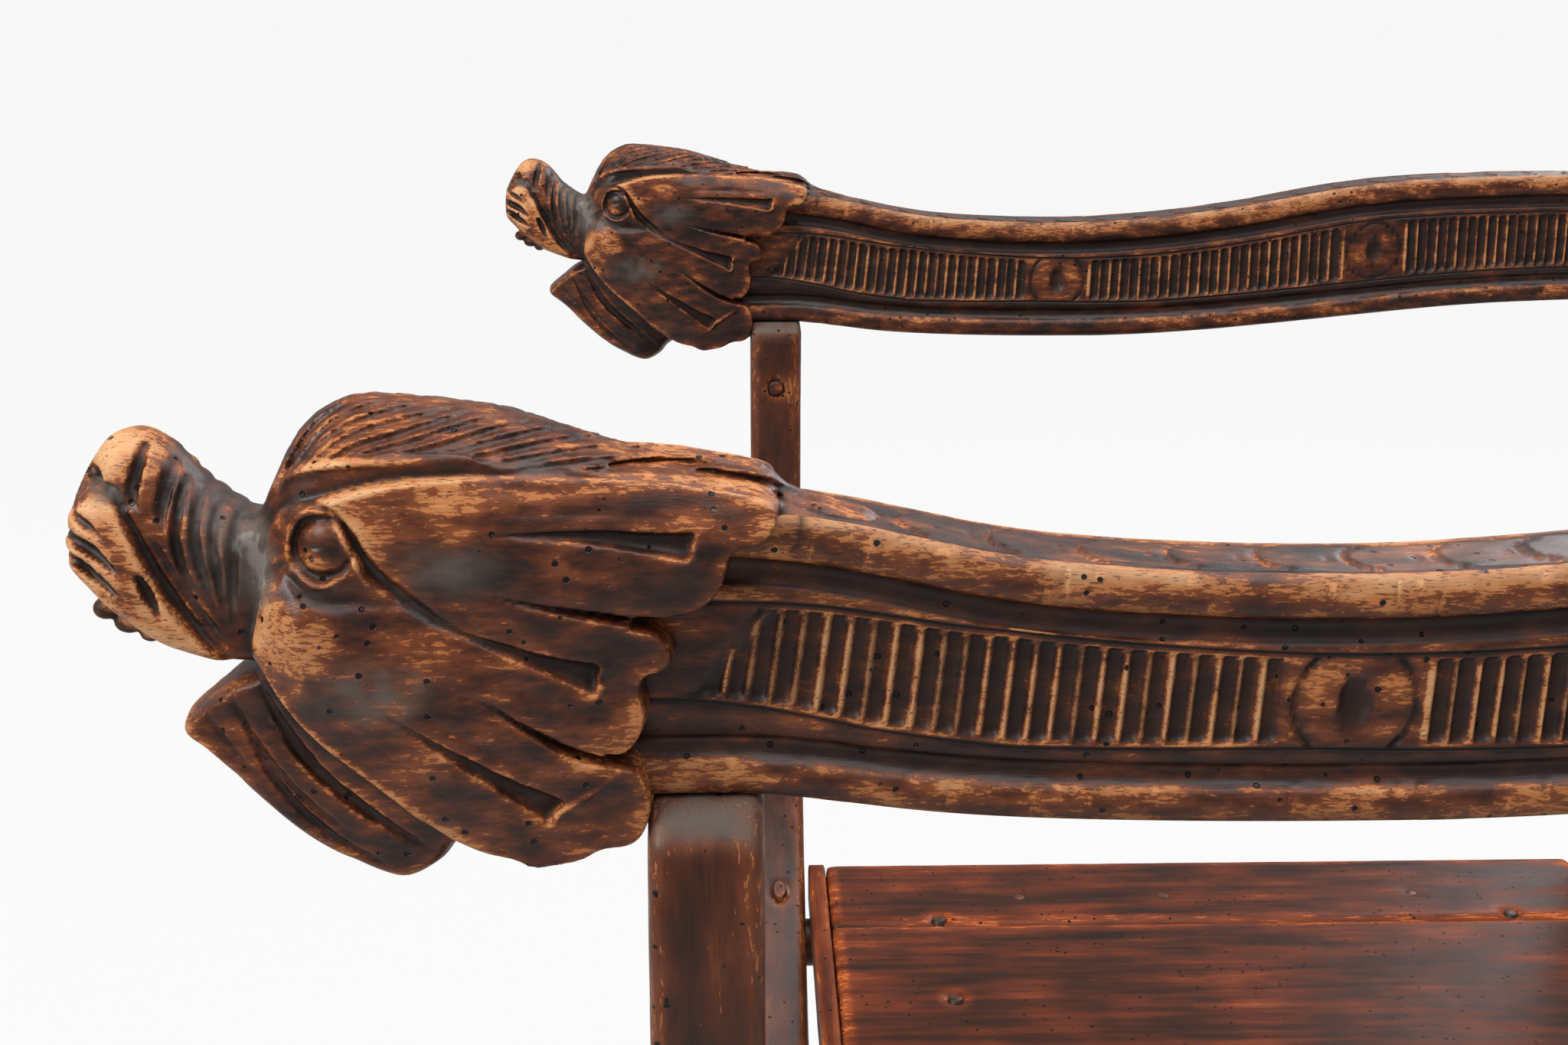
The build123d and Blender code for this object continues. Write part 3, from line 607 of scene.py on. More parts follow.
SNOUT_FLUTES = (
    ([(105.4, 78.4), (106.2, 74), (106.8, 69.5), (105.8, 66)], 2.9, 2.6),
    ([(99.8, 75.4), (100.4, 70.6), (100.8, 65.6), (100.2, 61.4)], 3.1, 2.2),
    ([(97.2, 71.4), (97.9, 65.5), (98.1, 59.1), (97.1, 52.7), (95, 46.1)], 2.4, 1.8),
    ([(94, 70.2), (94.4, 63.9), (94, 57.5), (93, 51), (91.6, 44.5)], 2.4, 1.8),
    ([(90.4, 67.6), (90.8, 61.5), (90.7, 55.8), (90.2, 49.4), (89.4, 42.8)], 2.1, 1.6),
    ([(86.4, 65.6), (86.9, 58.7), (87.4, 52.3), (87.9, 45.7), (87.9, 40.8)], 2.4, 1.7),
)
JAW_GROOVES = (
    ([(84, 29.6), (79.4, 20), (73.6, 11), (65.5, 2.8), (55.6, -5.6), (47, -12.4)], 3.6, 2.2),
    ([(88.6, 20), (83, 8.6), (75.6, -1.6), (66.7, -9.4), (56.8, -15.6)], 2.4, 1.5),
    ([(90.4, 25.4), (86.6, 17), (80.6, 8), (73, -0.4), (64.6, -6.6)], 1.9, 1.2),
    ([(96.4, 20.4), (91.6, 13.4), (86, 7.6)], 1.5, 0.8),
    ([(82, 20), (76.6, 12.4), (70, 5)], 1.2, 0.6),
)


def snout_relief(view):
    """Lip roll, upright flutes, nostril and gouges on the snout, as heights and as wear."""
    band = step_up(view.inside(smooth_line(LIP_EDGE).tolist() + UNDER_LIP), -0.4, 1)
    height = band * 2.2 + view.cut(LIP, [11, 12.5, 12.5, 9, 5.5], [1, 1.5, 1.7, 1.4, 0.6])
    worn = band * 0.30
    for line, width, depth in LIP_FURROWS:
        height -= view.cut(line, [width * 0.6, width, width, width * 0.5], [depth * 0.6, depth, depth, 0.3])
    for strokes, end, last, gain, rub in ((LIP_GOUGES, 0.7, 0.3, 1.15, 0.26), (SNOUT_FLUTES, 0.8, 0.2, 1, 0.10)):
        for line, width, depth in strokes:
            stroke = view.cut(line, [width * end, width, width, width * end, 0.6],
                              [depth * 0.8, depth, depth, depth * 0.7, last])
            height -= stroke * gain
            worn -= stroke * rub
    worn -= 0.06 * step_up(98.0 - view.ahead, 0, 8)
    height -= view.hump((115.7, 72.8), (2.5, 2), 3.2, 0.5)
    height -= view.cut([(121.6, 69.2), (117, 70.8), (112, 70.6), (108.2, 67.6)], [2.6, 3.2, 3.4, 2.6],
                       [1, 1.7, 2, 1.4])
    worn += view.hump((108.8, 82.4), (12.5, 7.4), 0.30, -0.1)
    worn += view.hump((113.8, 76), (4.8, 6), 0.22)
    return height, worn


def eye_relief(view):
    """Eyeball in its socket with its lid, the furrow behind the lid and the fold under the eye."""
    height = -view.hump((EYE[0] + 0.1, EYE[1] + 0.2), (7.3, 7), 2.7, -0.3)
    height -= view.soft(LID_FURROW, [1.6, 3.4, 4.4, 4.8, 5.4, 5, 2.4], [0.8, 1.9, 2.4, 2.5, 2.4, 1.6, 0.4])
    height = np.maximum(height, view.hump(EYE, (6.3, 6.1), 3.9, -0.3) - 2.6)
    for line, tall in ((LID, 1.1), (LID_RIDGE, 1.5)):
        height += view.cut(line, [1, 1.7, 1.7, 1.7, 1], [0.4, tall, tall, tall, 0.4])
    height += view.cut([(71.6, 56.2), (69.4, 54), (66.4, 53), (63.4, 53.6), (61, 54.8)], [0.9, 1.8, 0.9],
                       [0.3, 1.2, 0.4])
    height -= view.soft([(73.6, 54.4), (70, 51.6), (64.8, 49.9), (58.4, 49.4), (52, 48.6)],
                        [2, 6, 7, 3.4], [0.5, 1.6, 1.6, 0.8])
    height -= view.cut([(69, 61.6), (67.2, 60.9), (65, 62.2)], [0.5, 1.1, 0.6], [0.3, 0.8, 0.2])
    # The eyeball's lower front is rubbed paler; its upper back is painted darker, as shade where the ball turns
    # away.
    worn = view.hump((67.6, 57.6), (4.6, 2.4), 0.30) - view.hump((63.6, 61.6), (4.4, 4.6), 0.20)
    worn += view.soft(LID_RIDGE, [1, 1.6, 1], [0.10, 0.22, 0.16])
    worn += view.soft(LOBE_EDGE, [3, 7, 6], [0.10, 0.22, 0.12])
    return height, worn


# Each ends square, across the direction of its third part.
LEAF_GOUGES = (
    ([(32, 63.9), (14.5, 62.9), (-0.9, 61.5), (-10.8, 60.3)], [0.8, 2, 3.6, 6], (-6, -2.1)),
    ([(44, 44.6), (30.8, 39.4), (20.5, 35.4), (9.6, 31.4)], [0.8, 2.2, 3.9, 6.6], (-6.8, -1.5)),
    ([(54, 24.4), (42.4, 15.8), (32.1, 8.8), (19.4, 0.6)], [0.8, 2.2, 3.8, 6.4], (-4.7, -3.9)),
)
LEAF_SLITS = (
    [(34, 51.4), (27, 49.4), (16.9, 47), (6.8, 44.9), (-1, 43.3), (-8, 42.6)],
    [(38.1, 28.5), (32.3, 25.7), (25.1, 20.5), (18.6, 16.2), (12.8, 13.2), (4, 10.8)],
)
# Small curled lips at the gouges' blunt ends.
LEAF_CURLS = (
    [(-6.6, 57.4), (-9.4, 57.2), (-11.6, 59), (-10.6, 61.4), (-13, 63.6)],
    [(13.2, 27.6), (10, 27.4), (8.6, 29.6), (9.4, 32), (7.2, 34.6)],
    [(26, -4.6), (20.2, -2.6), (18.2, 0.6), (13.4, 3.6), (7.6, 7.4), (4.6, 10.6)],
)
LEAF_VEINS = (
    [(44, 66.8), (26, 67.6), (5, 67.2), (-15, 65.6)], [(48, 57), (30, 56.6), (8, 53.6)],
    [(62, 40), (48, 32), (34, 27)], [(66, 24), (54, 14.6), (42, 4), (34, -2.6)],
    [(60, 33), (46, 24), (30, 14), (16, 7.4)], [(30, 31), (18, 26), (8, 22.4)],
)
LEAF_CREST = [(66, 69.6), (56, 72.8), (45.7, 74.6), (32.5, 75.4), (19.2, 75.2), (6, 74.5), (-6.3, 73.4),
              (-16.5, 71.4), (-26, 68.4)]
LEAF_RIM = [(81, 32.4), (76.6, 26.2), (70.6, 19.4), (62.6, 12.4), (54.4, 5.2), (46, -1.6), (40, -6)]
# Rubbed places: middle, reach each way, and how much paler.
LEAF_RUBS = (
    ((73, 41), (11, 9), 0.40), ((76, 30), (7, 6), 0.18), ((64, 36), (9, 5), 0.14),
    ((42, 40.5), (8, 3.4), 0.15), ((27, 26.5), (10, 5), 0.20), ((38, 19), (8, 3), 0.16),
    ((30, 14.5), (6, 2.4), 0.16), ((44, 12), (6, 3.6), 0.12),
)


def leaf_relief(view):
    """Gouges, slits and ridges on the cheek and the three ear lobes."""
    height = np.zeros(view.ahead.shape)
    worn = np.zeros(view.ahead.shape)
    for line, widths, stop in LEAF_GOUGES:
        height -= view.cut(line, widths, [0.4, 1.4, 2.3, 3], "round", stop)
    for line in LEAF_SLITS:
        height -= view.cut(line, [0.8, 1.4, 1.9, 2.2, 2.4, 2.6], [0.3, 1.3, 2.6, 4.4, 6.5, 7.5], "vee")
        height -= view.soft([(ahead + 1, up + 1.6) for ahead, up in line], [1, 4.5, 5], [0.1, 0.5, 0.8])
    for line in LEAF_CURLS:
        height += view.cut(line, [0.6, 1.5, 1.5, 0.6], [0.2, 0.9, 0.8, 0.3])
        worn += view.soft(line, [0.6, 1.6, 0.6], [0.05, 0.16, 0.05])
    height -= view.soft([(81, 49.6), (77.4, 53.6), (74, 56.6)], [2, 5, 3.4], [0.8, 2, 1])
    for line in LEAF_VEINS:
        height -= view.soft(line, [0.5, 2.6, 1.8], [0.1, 0.4, 0.1])
    crest = view.soft(LEAF_CREST, [2.6, 4, 4, 3], [0.2, 0.5, 0.4, 0.2])
    height += crest
    worn += crest * 0.60
    worn += view.hump((49, 67), (18, 8.4), 0.15, -0.1)
    worn += view.soft([(60, 71), (45, 72.4), (20, 72.4), (0, 71), (-14, 68.6), (-26, 65)],
                      [8, 9, 9, 9, 8], [0.10, 0.13, 0.11, 0.10, 0.08])
    worn += view.hump((-24, 64.6), (6, 5), 0.08)
    worn += view.hump((40, 55), (11, 4.5), -0.14)
    rim = view.soft(LEAF_RIM, [1.4, 2, 1.9, 1.4], [0.3, 0.4, 0.35, 0.2])
    height += rim
    worn += rim * 0.6
    for rub in LEAF_RUBS:
        worn += view.hump(*rub)
    return height, worn


def jaw_relief(view):
    """Flowing grooves on the lower jaw."""
    height = np.zeros(view.ahead.shape)
    for line, width, depth in JAW_GROOVES:
        height -= view.cut(line, [0.8, width, width, 0.8], [0.4, depth, depth, 0.3])
    rim = view.soft([(100.4, 16.4), (95.4, 10.6), (88.6, 4.2), (82.4, -1.4), (75, -7.6), (66.4, -13.4)],
                    [2, 3, 2], [0.2, 0.5, 0.2])
    worn = rim * 0.16 + view.soft([(100.6, 21.6), (96, 25.4), (90, 29), (86, 31)], [2, 3.4, 2.4],
                                  [0.34, 0.5, 0.3])
    return height + rim, worn


def smooth_top(first, second, blend):
    """Larger of two heights, with the join rounded over a blend width."""
    share = np.clip(0.5 + (first - second) / (2 * blend), 0, 1)
    return second + (first - second) * share + blend * share * (1 - share)


def layer_height(depth, thickness, rounding, floor):
    """Half thickness of one layer from its depth inside the outline."""
    edge = dome(np.clip(depth / rounding, 0, 1))
    return np.where(depth > 0, floor + (thickness - floor) * edge, floor + depth * 6)


def head_relief(view):
    """Half thickness of the head over its side view, and its wear."""
    core, rounding = view.sheets(CORE_MARKS)
    core = layer_height(view.inside(smooth_line(CORE_OUTLINE, True)), core, rounding.clip(2.2), 0)
    leaf, rounding = view.sheets(LEAF_MARKS)
    leaf_depth = view.inside(smooth_line(LEAF_OUTLINE, True, 4))
    leaf = layer_height(leaf_depth, leaf.clip(None, LEAF_FRONT), rounding * 0.62, LEAF_BACK)
    leaf_height, leaf_worn = leaf_relief(view)
    eye_height, eye_worn = eye_relief(view)
    leaf = np.where(leaf_depth > 0, leaf + (leaf_height + eye_height) * step_up(leaf_depth, 0, 1.5), leaf)
    snout_height, snout_worn = snout_relief(view)
    jaw_height, jaw_worn = jaw_relief(view)
    brow = view.soft(BROW_LINE, [2, 3.4, 3.4, 2], [0.8, 1.7, 1.2, 0.2])
    core = core + (snout_height + jaw_height + brow) * step_up(core, 2, 7)
    worn = np.where(leaf > core, leaf_worn + eye_worn, snout_worn + jaw_worn + brow * 0.14)
    return smooth_top(leaf, core, 0.35), worn


# Grooves between the mane's locks. Their second number is the height above the arm's underside of the point of the
# lock 12 mm out from the arm's middle plane. A lock rises across the mane as it nears the middle.
LOCKS = [
    [(76.7, 71.1), (73.2, 78.2), (69.4, 84), (64.9, 87.9), (60.2, 90.1)],
    [(73.3, 73.7), (70.3, 78.9), (66, 84), (61.1, 87.2), (55.5, 89.4), (51.5, 90.4)],
    [(70.9, 75.2), (67.1, 79.9), (61.8, 83.6), (55.7, 86.3), (50, 88.2), (44.8, 89.5)],
    [(68.2, 75.9), (62.9, 80), (56.9, 83.1), (50.2, 85.1), (44.2, 86.9), (39.6, 88.6)],
    [(64.4, 76.4), (58.4, 79.5), (52, 81.5), (45.2, 83.9), (39.3, 86.2), (34.2, 88.1)],
    [(59.4, 76.7), (53, 78.9), (46.2, 80.6), (40.3, 82.8), (34.4, 85), (28.5, 86.9)],
    [(53.1, 76.7), (46.4, 78.4), (39.6, 79.9), (32.8, 82.4), (27.8, 84.1), (22.7, 85.5)],
    [(47.3, 76.5), (39.7, 78), (33, 79.7), (26.2, 81.7), (20.3, 83.2), (14.5, 83.5)],
    [(40.6, 75.9), (31.4, 77.4), (23.8, 79.3), (16.2, 81), (9.5, 81.6), (2.9, 81.4)],
    [(33.1, 75.2), (24.7, 76.5), (16.3, 78.2), (7.9, 79.2), (-0.4, 79), (-8.8, 78.6), (-16.4, 78.2)],
    [(24.8, 74.5), (14.7, 75.7), (6.3, 76.6), (-2.1, 76.8), (-10.5, 76.4), (-18.9, 75.8), (-26.4, 74.7)],
    [(14.8, 73.8), (4.7, 74.5), (-3.7, 74.6), (-12.1, 74), (-20.5, 72.8), (-28.1, 71), (-36, 68)],
    [(4.7, 73), (-5.4, 73), (-13.8, 72.3), (-22.2, 70.8), (-30.7, 68.2), (-39.2, 64.8), (-46, 62.6)],
]
LOCK_RISE = 0.29       # rise of a lock for each millimetre nearer the middle plane
LOCK_PLANE = 12.0
MANE_REACH = 18.5      # half width of the mane
MANE_FOOT = [(-52, 61.5), (-34, 67), (-26, 71), (-6, 74), (20, 75.4), (46, 75.6), (66, 71), (80, 66)]
MANE_WIDTH = 16.6      # half width within which the side view's maps are not read
MANE_FRONT = 62.0
# Furrow between the mane and the leaf's top edge: its line, how far out it lies, and its size along the line.
VALLEY_LINE = [(-30, 71), (-22, 71.6), (-8, 73.8), (6, 75), (20, 76.6)]
VALLEY_OUT = 13.9
VALLEY_SIZE = [(-30, 1), (-22, 2.6), (-6, 2.9), (8, 2.2), (17, 0.8), (24, -6)]
# Teeth: middle as out, ahead and up, and half size the same way.
TEETH = (
    ((9.5, 115.4, 43.9), (3.8, 3.1, 2.5)), ((10, 110.6, 41), (3.8, 3.5, 2.6)),
    ((10, 106.2, 38.5), (3.4, 2.6, 2.1)),
)
# Corners of the box round half a head, as out, ahead and up.
HEAD_LOW = (0, -56, -26)
HEAD_HIGH = (30, 130, 95)


def mane_sheet(view):
    """Depth of the grooves between the mane's locks and of the fine lines within them, drawn flat."""
    rng = np.random.default_rng(8)
    depth = np.zeros(view.ahead.shape)
    for line in LOCKS:
        groove = view.cut(line, [1.2, 2, 2.2, 2.2, 1.8, 1], [0.7, 1.3, 1.5, 1.4, 1.1, 0.3])
        depth = np.maximum(depth, groove)
        depth += view.soft(line, [2.4, 5, 5, 4], [0.15, 0.5, 0.5, 0.2])
    steps = np.linspace(0, 1, 9)
    for pair in zip(LOCKS, LOCKS[1:]):
        before, after = (np.stack([np.interp(steps, np.linspace(0, 1, len(side)), part) for part in side.T], -1)
                         for side in map(smooth_line, pair))
        for share in (0.27, 0.52, 0.76):
            line = before * (1 - share) + after * share
            first, last = rng.integers(0, 4), rng.integers(5, 9)
            line = line[first:last + 1] + rng.uniform(-0.25, 0.25, 2)
            size = rng.uniform(0.25, 0.75)
            depth = np.maximum(depth, view.cut(line, [0.6, 1.2, 1.3, 0.6], [0.1, size, size, 0.1]))
    return depth


def evened(sheet, reach):
    """A map averaged over a few cells each way, three times over."""
    width = 2 * reach + 1
    for axis in (0, 1) * 3:
        padded = np.pad(sheet, [(reach + 1, reach) if way == axis else (0, 0) for way in (0, 1)], mode="edge")
        total = np.cumsum(padded, axis=axis)
        sheet = (np.take(total, range(width, total.shape[axis]), axis)
                 - np.take(total, range(total.shape[axis] - width), axis)) / width
    return sheet


def head_field(cell):
    """Field of one half of the head on a grid, and maps of its wear and of its cut lines."""
    out, ahead, up = (np.arange(low, high, cell) for low, high in zip(HEAD_LOW, HEAD_HIGH))
    thickness, worn = head_relief(SideView(*np.meshgrid(ahead, up, indexing="ij")))
    slope = np.gradient(thickness, cell)
    steep = np.sqrt(1 + slope[0] ** 2 + slope[1] ** 2)
    solid = thickness.clip(0, None)
    standing = solid - evened(solid, max(1, int(round(1.2 / cell))))
    cut_lines = np.maximum(step_up(-standing, 0.20, 0.80), step_up(-thickness, 0.5, 2) * 0.75)
    worn = worn + step_up(standing, 0.16, 0.60) * 0.15
    field = (out[:, None, None] - thickness[None]) / steep[None].clip(1, 6)
    # The mane's sheet is read higher up for places nearer the middle plane.
    spare = int(math.ceil(LOCK_RISE * LOCK_PLANE / cell)) + 2
    tall = HEAD_LOW[2] + (np.arange(len(up) + 2 * spare + 8) - spare) * cell
    sheet = mane_sheet(SideView(*np.meshgrid(ahead, tall, indexing="ij")))
    for index, place in enumerate(out[out < MANE_REACH]):
        lift = LOCK_RISE * (LOCK_PLANE - place) / cell + spare
        whole = int(math.floor(lift))
        share = lift - whole
        grooves = sheet[:, whole:whole + len(up)] * (1 - share) + sheet[:, whole + 1:whole + 1 + len(up)] * share
        field[index] += grooves * min(1, MANE_REACH - place)
    grid = np.meshgrid(out, ahead, up, indexing="ij")
    from_line = np.hypot(grid[0] - VALLEY_OUT, grid[2] - np.interp(grid[1], *zip(*VALLEY_LINE)))
    valley = np.interp(grid[1], *zip(*VALLEY_SIZE)) - from_line
    field = np.maximum(field, np.where(grid[1] > VALLEY_LINE[0][0], valley, -9))
    points = np.stack(grid, -1)
    field += lumps(points, 7, 3) * 0.22 + lumps(points, (2.6, 4, 2.6), 4) * 0.10
    for middle, size in TEETH:
        reach = np.sqrt(sum(((way - centre) / half) ** 2 for way, centre, half in zip(grid, middle, size)))
        field = np.minimum(field, (reach - 1) * size[2])
    return field, worn, cut_lines


def fewer_faces(points, quads, layers, limit):
    """The same surface and its layers of values with at most so many triangles, fewest where it is flat."""
    dense = add_object("dense", new_mesh("dense", points, quads.tolist()))
    write_layers(dense.data, layers)
    dense.modifiers.new("thin", "DECIMATE").ratio = min(1, limit / (2 * len(quads)))
    made = solved_mesh(dense)
    points = read_rows(made.vertices, "co", 3)
    faces = [list(polygon.vertices) for polygon in made.polygons]
    layers = {label: read_rows(made.attributes[label].data, "value", 1, np.float32)[:, 0] for label in layers}
    bpy.data.meshes.remove(made)
    return points, faces, layers


# Dust on the head, with a grey painted sheen on the neck as well: its middle in the side view, its reach each way
# and its amount.
DUST_AND_SHEEN_SPOTS = (
    # The second spot, wide over the neck, is partly dust and partly a painted grey sheen.
    ((81.2, 54.6), (4, 7.5), 1), ((89, 57), (10, 14), 0.64), ((112.5, 70.2), (5, 2.2), 0.9),
    ((39, 56), (13, 7), 0.62), ((57, 29), (15, 9), 0.60), ((66, 52.4), (6, 2.4), 0.4),
    ((44, -2), (8, 5), 0.3),
)


def carve_head():
    """Shape of one carved head about the arm's middle plane, both cheeks alike, with its finish values."""
    half, *maps = head_field(CARVING_CELL)
    low = (-(len(half) - 1) * CARVING_CELL, *HEAD_LOW[1:])
    points, quads = net_skin(np.concatenate([half[:0:-1], half]), low, CARVING_CELL)
    pairs = edge_pairs(quads)
    points = relax(points, pairs, 1, 0.3)
    fine = relief(points, quads, pairs, 8)
    broad = relief(points, quads, pairs, 90)
    normals = vertex_normals(points, quads)
    out, ahead, up = points.T
    column, row = (((places - start) / CARVING_CELL).clip(0, size - 1).astype(int)
                   for places, start, size in zip((ahead, up), HEAD_LOW[1:], maps[0].shape))
    # The maps show the leaf where it hides the mane's side.
    on_mane = (np.abs(out) < MANE_WIDTH) & (up > np.interp(ahead, *zip(*MANE_FOOT)) - 1) & (ahead < MANE_FRONT)
    drawn, lines = (np.where(on_mane, plain, sheet[column, row]) for sheet, plain in zip(maps, (0.08, 0)))
    drawn, lines = relax(np.stack([drawn, lines], -1), pairs, 2).T
    # The last term paints faces turned up slightly paler, as light from above.
    worn = (HEAD_WEAR + drawn + step_up(fine, 0.06, 0.34) * 0.15 + np.tanh(broad * 0.7) * 0.08
            + normals[:, 2].clip(0, 1) * 0.05)
    hollow = np.maximum(step_up(-fine, 0.06, 0.38) * 0.85 + step_up(-broad, 0.45, 1.7) * 0.5,
                        lines * step_up(np.abs(normals[:, 0]), 0.10, 0.4))
    dust = step_up(-fine, 0.05, 0.3) * 0.25
    # One of these spots also paints a grey sheen on the neck.
    for place, size, amount in DUST_AND_SHEEN_SPOTS:
        dust += amount * np.exp(-((ahead - place[0]) / size[0]) ** 2 - ((up - place[1]) / size[1]) ** 2)
    dust *= 1.0 + 0.35 * lumps(points, 2.6, 31) + 0.25 * lumps(points, 1.1, 32)
    layers = {"worn": worn.clip(0, 1), "hollow": hollow.clip(0, 1), "dust": dust.clip(0, 1)}
    return fewer_faces(points, quads, layers, HEAD_TRIANGLES)


def on_arm(side, out, back, up):
    """Places on the frame of points on one arm."""
    return np.stack([SIDE_SIGN[side] * HALF_ARM + out, FRONT[side] + back, ARM_UNDERSIDE + up], -1)


def place_head(side, carving, material):
    """One carved head on the front of an arm."""
    points, faces, layers = carving
    world = on_arm(side, points[:, 0], -points[:, 1], points[:, 2])
    # The far left arm's lowered wear is painted shade.
    return make_piece(side + "_arm_head", world, [face[::-1] for face in faces], material,
                      layers["worn"] - FAR_ARM_SHADE[side], layers["hollow"], layers["dust"], world[:, GRAIN_ORDER["y"]])


# ================= Arm rails =================

def natural_curve(points, places):
    """Smooth curve through points, read at places along the first axis."""
    x, y = np.asarray(points, float).T
    gaps = np.diff(x)
    size = len(x)
    matrix = np.eye(size)
    right = np.zeros(size)
    for i in range(1, size - 1):
        matrix[i, i - 1:i + 2] = gaps[i - 1], 2 * (gaps[i - 1] + gaps[i]), gaps[i]
        right[i] = 6 * ((y[i + 1] - y[i]) / gaps[i] - (y[i] - y[i - 1]) / gaps[i - 1])
    bend = np.linalg.solve(matrix, right)
    index = np.clip(np.searchsorted(x, places) - 1, 0, size - 2)
    span, start = gaps[index], x[index]
    a, b = (x[index + 1] - places) / span, (places - start) / span
    return (a * y[index] + b * y[index + 1]
            + ((a**3 - a) * bend[index] + (b**3 - b) * bend[index + 1]) * span**2 / 6)


# Along the rail: first number is millimetres behind the front slat's front.
RAIL_TOP = [
    (-12, 64), (14, 65), (38, 62.7), (72, 55.6), (110, 51.5), (160, 50), (205, 52.5), (262, 60), (302, 67),
    (342, 71), (383, 72.5), (424, 73),
]
RAIL_TOP_TAIL = (66, 64)     # at the start of the rounded end and at the end itself
RAIL_BOTTOM = [
    (-12, 0.6), (0, 0.2), (28, 0), (60, -4), (100, -7), (150, -8), (195, -7.5), (258, -3), (298, 1), (338, 5),
    (378, 8), (420, 9.5), (458, 10),
]
RAIL_BOTTOM_END = 10.0
FIELD_DROP = [(20, 21), (50, 19.5), (81, 17.6), (144, 19), (201, 20), (300, 19.5), (500, 19)]
FIELD_RISE = [(10, 23.5), (30, 21), (48, 19.2), (82, 17.8), (145, 18.8), (203, 17.8), (300, 18), (500, 18)]
SECTION_LEAN = [(0, 0.17), (60, 0.10), (160, 0.03), (330, -0.03), (480, 0)]
FLUTE_PITCH = 5.08
FLUTE_DEPTH = 2.1
FLUTE_SHARE = 0.428    # half width of a flute in pitches
RUN_STARTS = (15.6, 175.2, 336.6)     # middle of the first flute of each run
RUN_COUNTS = (25, 25, 31)
OVALS = (156.5, 317.6)
OVAL_HALF = (3.9, 6.8)       # half width and half height of an oval pit
OVAL_DEPTH = 2.6
BRACKET_RADIUS = 13.7        # of the round brackets beside an oval
BRACKET_DEPTH = 1.5
OVAL_REACH = 14.4            # no flutes nearer to an oval's middle
END_ROUND = 7.0
# The first flutes are cut short along a slanting line.
SLANT_RISE = 1.42
SLANT_UP = 24.0
SLANT_BACK = 13.0
SLANT_LINE_BACK = 11.6
SLANT_LINE_DEPTH = 1.4
# The coin scales on the rail's top.
SCALE_RADIUS = 9.3
SCALE_PITCH = 20.0
SCALE_START = 30.0
# Cross-section rows of one side from the top's middle to the bottom's middle. Each row is how far down it lies from
# what it is measured from, or its share of the flute's height, how far out, and how worn it is.
RAIL_ROWS = {
    "top": ((0, 0, 0.30), (0, 1.8, 0.30), (0, 3.6, 0.30), (0, 5.4, 0.30), (0.05, 7, 0.31),
            (0.1, 8.4, 0.32), (0.25, 9.3, 0.24), (0.9, 9.8, 0.12), (0.2, 10.3, 0.55), (0.1, 11.4, 0.75),
            (0.5, 13, 0.84), (1.5, 14.2, 0.82), (3.1, 14.85, 0.74), (5, 15, 0.64), (7, 14.9, 0.60),
            (8.7, 14.4, 0.64), (9.6, 13.3, 0.50), (10, 12, 0.10), (11.2, 10.9, 0.03), (13, 10.5, 0.03),
            (14.6, 10.9, 0.08), (15.7, 12, 0.24), (16.3, 12.9, 0.54)),
    "field": ((-1.9, 13, 0.56), (-1.5, 12.9, 0.18), (-1.05, 12.2, 0.02), (-0.6, 12.9, 0.25)),
    "flute": tuple((share, 12.95, 0.40) for share in (0, 0.035, 0.08, 0.15, 0.27, 0.42, 0.58, 0.73, 0.85, 0.92,
                                                      0.965, 1)),
    "floor": ((0.6, 12.9, 0.25), (1.05, 12.2, 0.02), (1.5, 12.9, 0.2), (2, 12.95, 0.34)),
    "bottom": ((-14.4, 12.8, 0.32), (-13.6, 11.8, 0.14), (-12.6, 11.2, 0.08), (-11.4, 11.15, 0.08),
               (-10.2, 11.6, 0.10), (-9.2, 12.4, 0.14), (-8.5, 13.3, 0.54), (-7.9, 14.2, 0.70), (-6.4, 14.8, 0.55),
               (-4.4, 15, 0.52), (-2.4, 14.8, 0.57), (-0.9, 14, 0.64), (-0.15, 12.6, 0.54), (0, 9, 0.28),
               (0, 4.5, 0.22), (0, 0, 0.22)),
}


def flute_places(end):
    """Middles of the flutes along the arm, slightly uneven as cut by eye."""
    rng = np.random.default_rng(5)
    places = [start + index * FLUTE_PITCH + rng.uniform(-0.22, 0.22)
              for start, count in zip(RUN_STARTS, RUN_COUNTS) for index in range(count)]
    return np.array([middle for middle in places if middle < end - 26])


def rail_columns(flutes, end):
    """Places of the rail's cross-sections: close together round each flute and oval."""
    columns = [-12, -6, 0, 4, 8, 10.5]
    for middle in flutes:
        columns += [middle + share * FLUTE_PITCH for share in (-0.5, -0.432, -0.385, -0.2, 0.2, 0.385, 0.432)]
    for middle in OVALS:
        columns += list(np.arange(middle - 15.6, middle + 15.7, 0.8))
    columns += list(np.arange(flutes[-1] + 3.5, end - END_ROUND, 2.2))
    columns += [end - END_ROUND * (1 - math.sin(math.radians(turn))) for turn in (0, 20, 38, 54, 68, 80, 90)]
    columns = np.array(sorted(columns))
    return columns[np.concatenate([[True], np.diff(columns) > 0.25])]


def bump_at(value, middle, reach):
    """One at a middle value, falling evenly to nought at its reach."""
    return np.clip(1 - np.abs(value - middle) / reach, 0, 1)


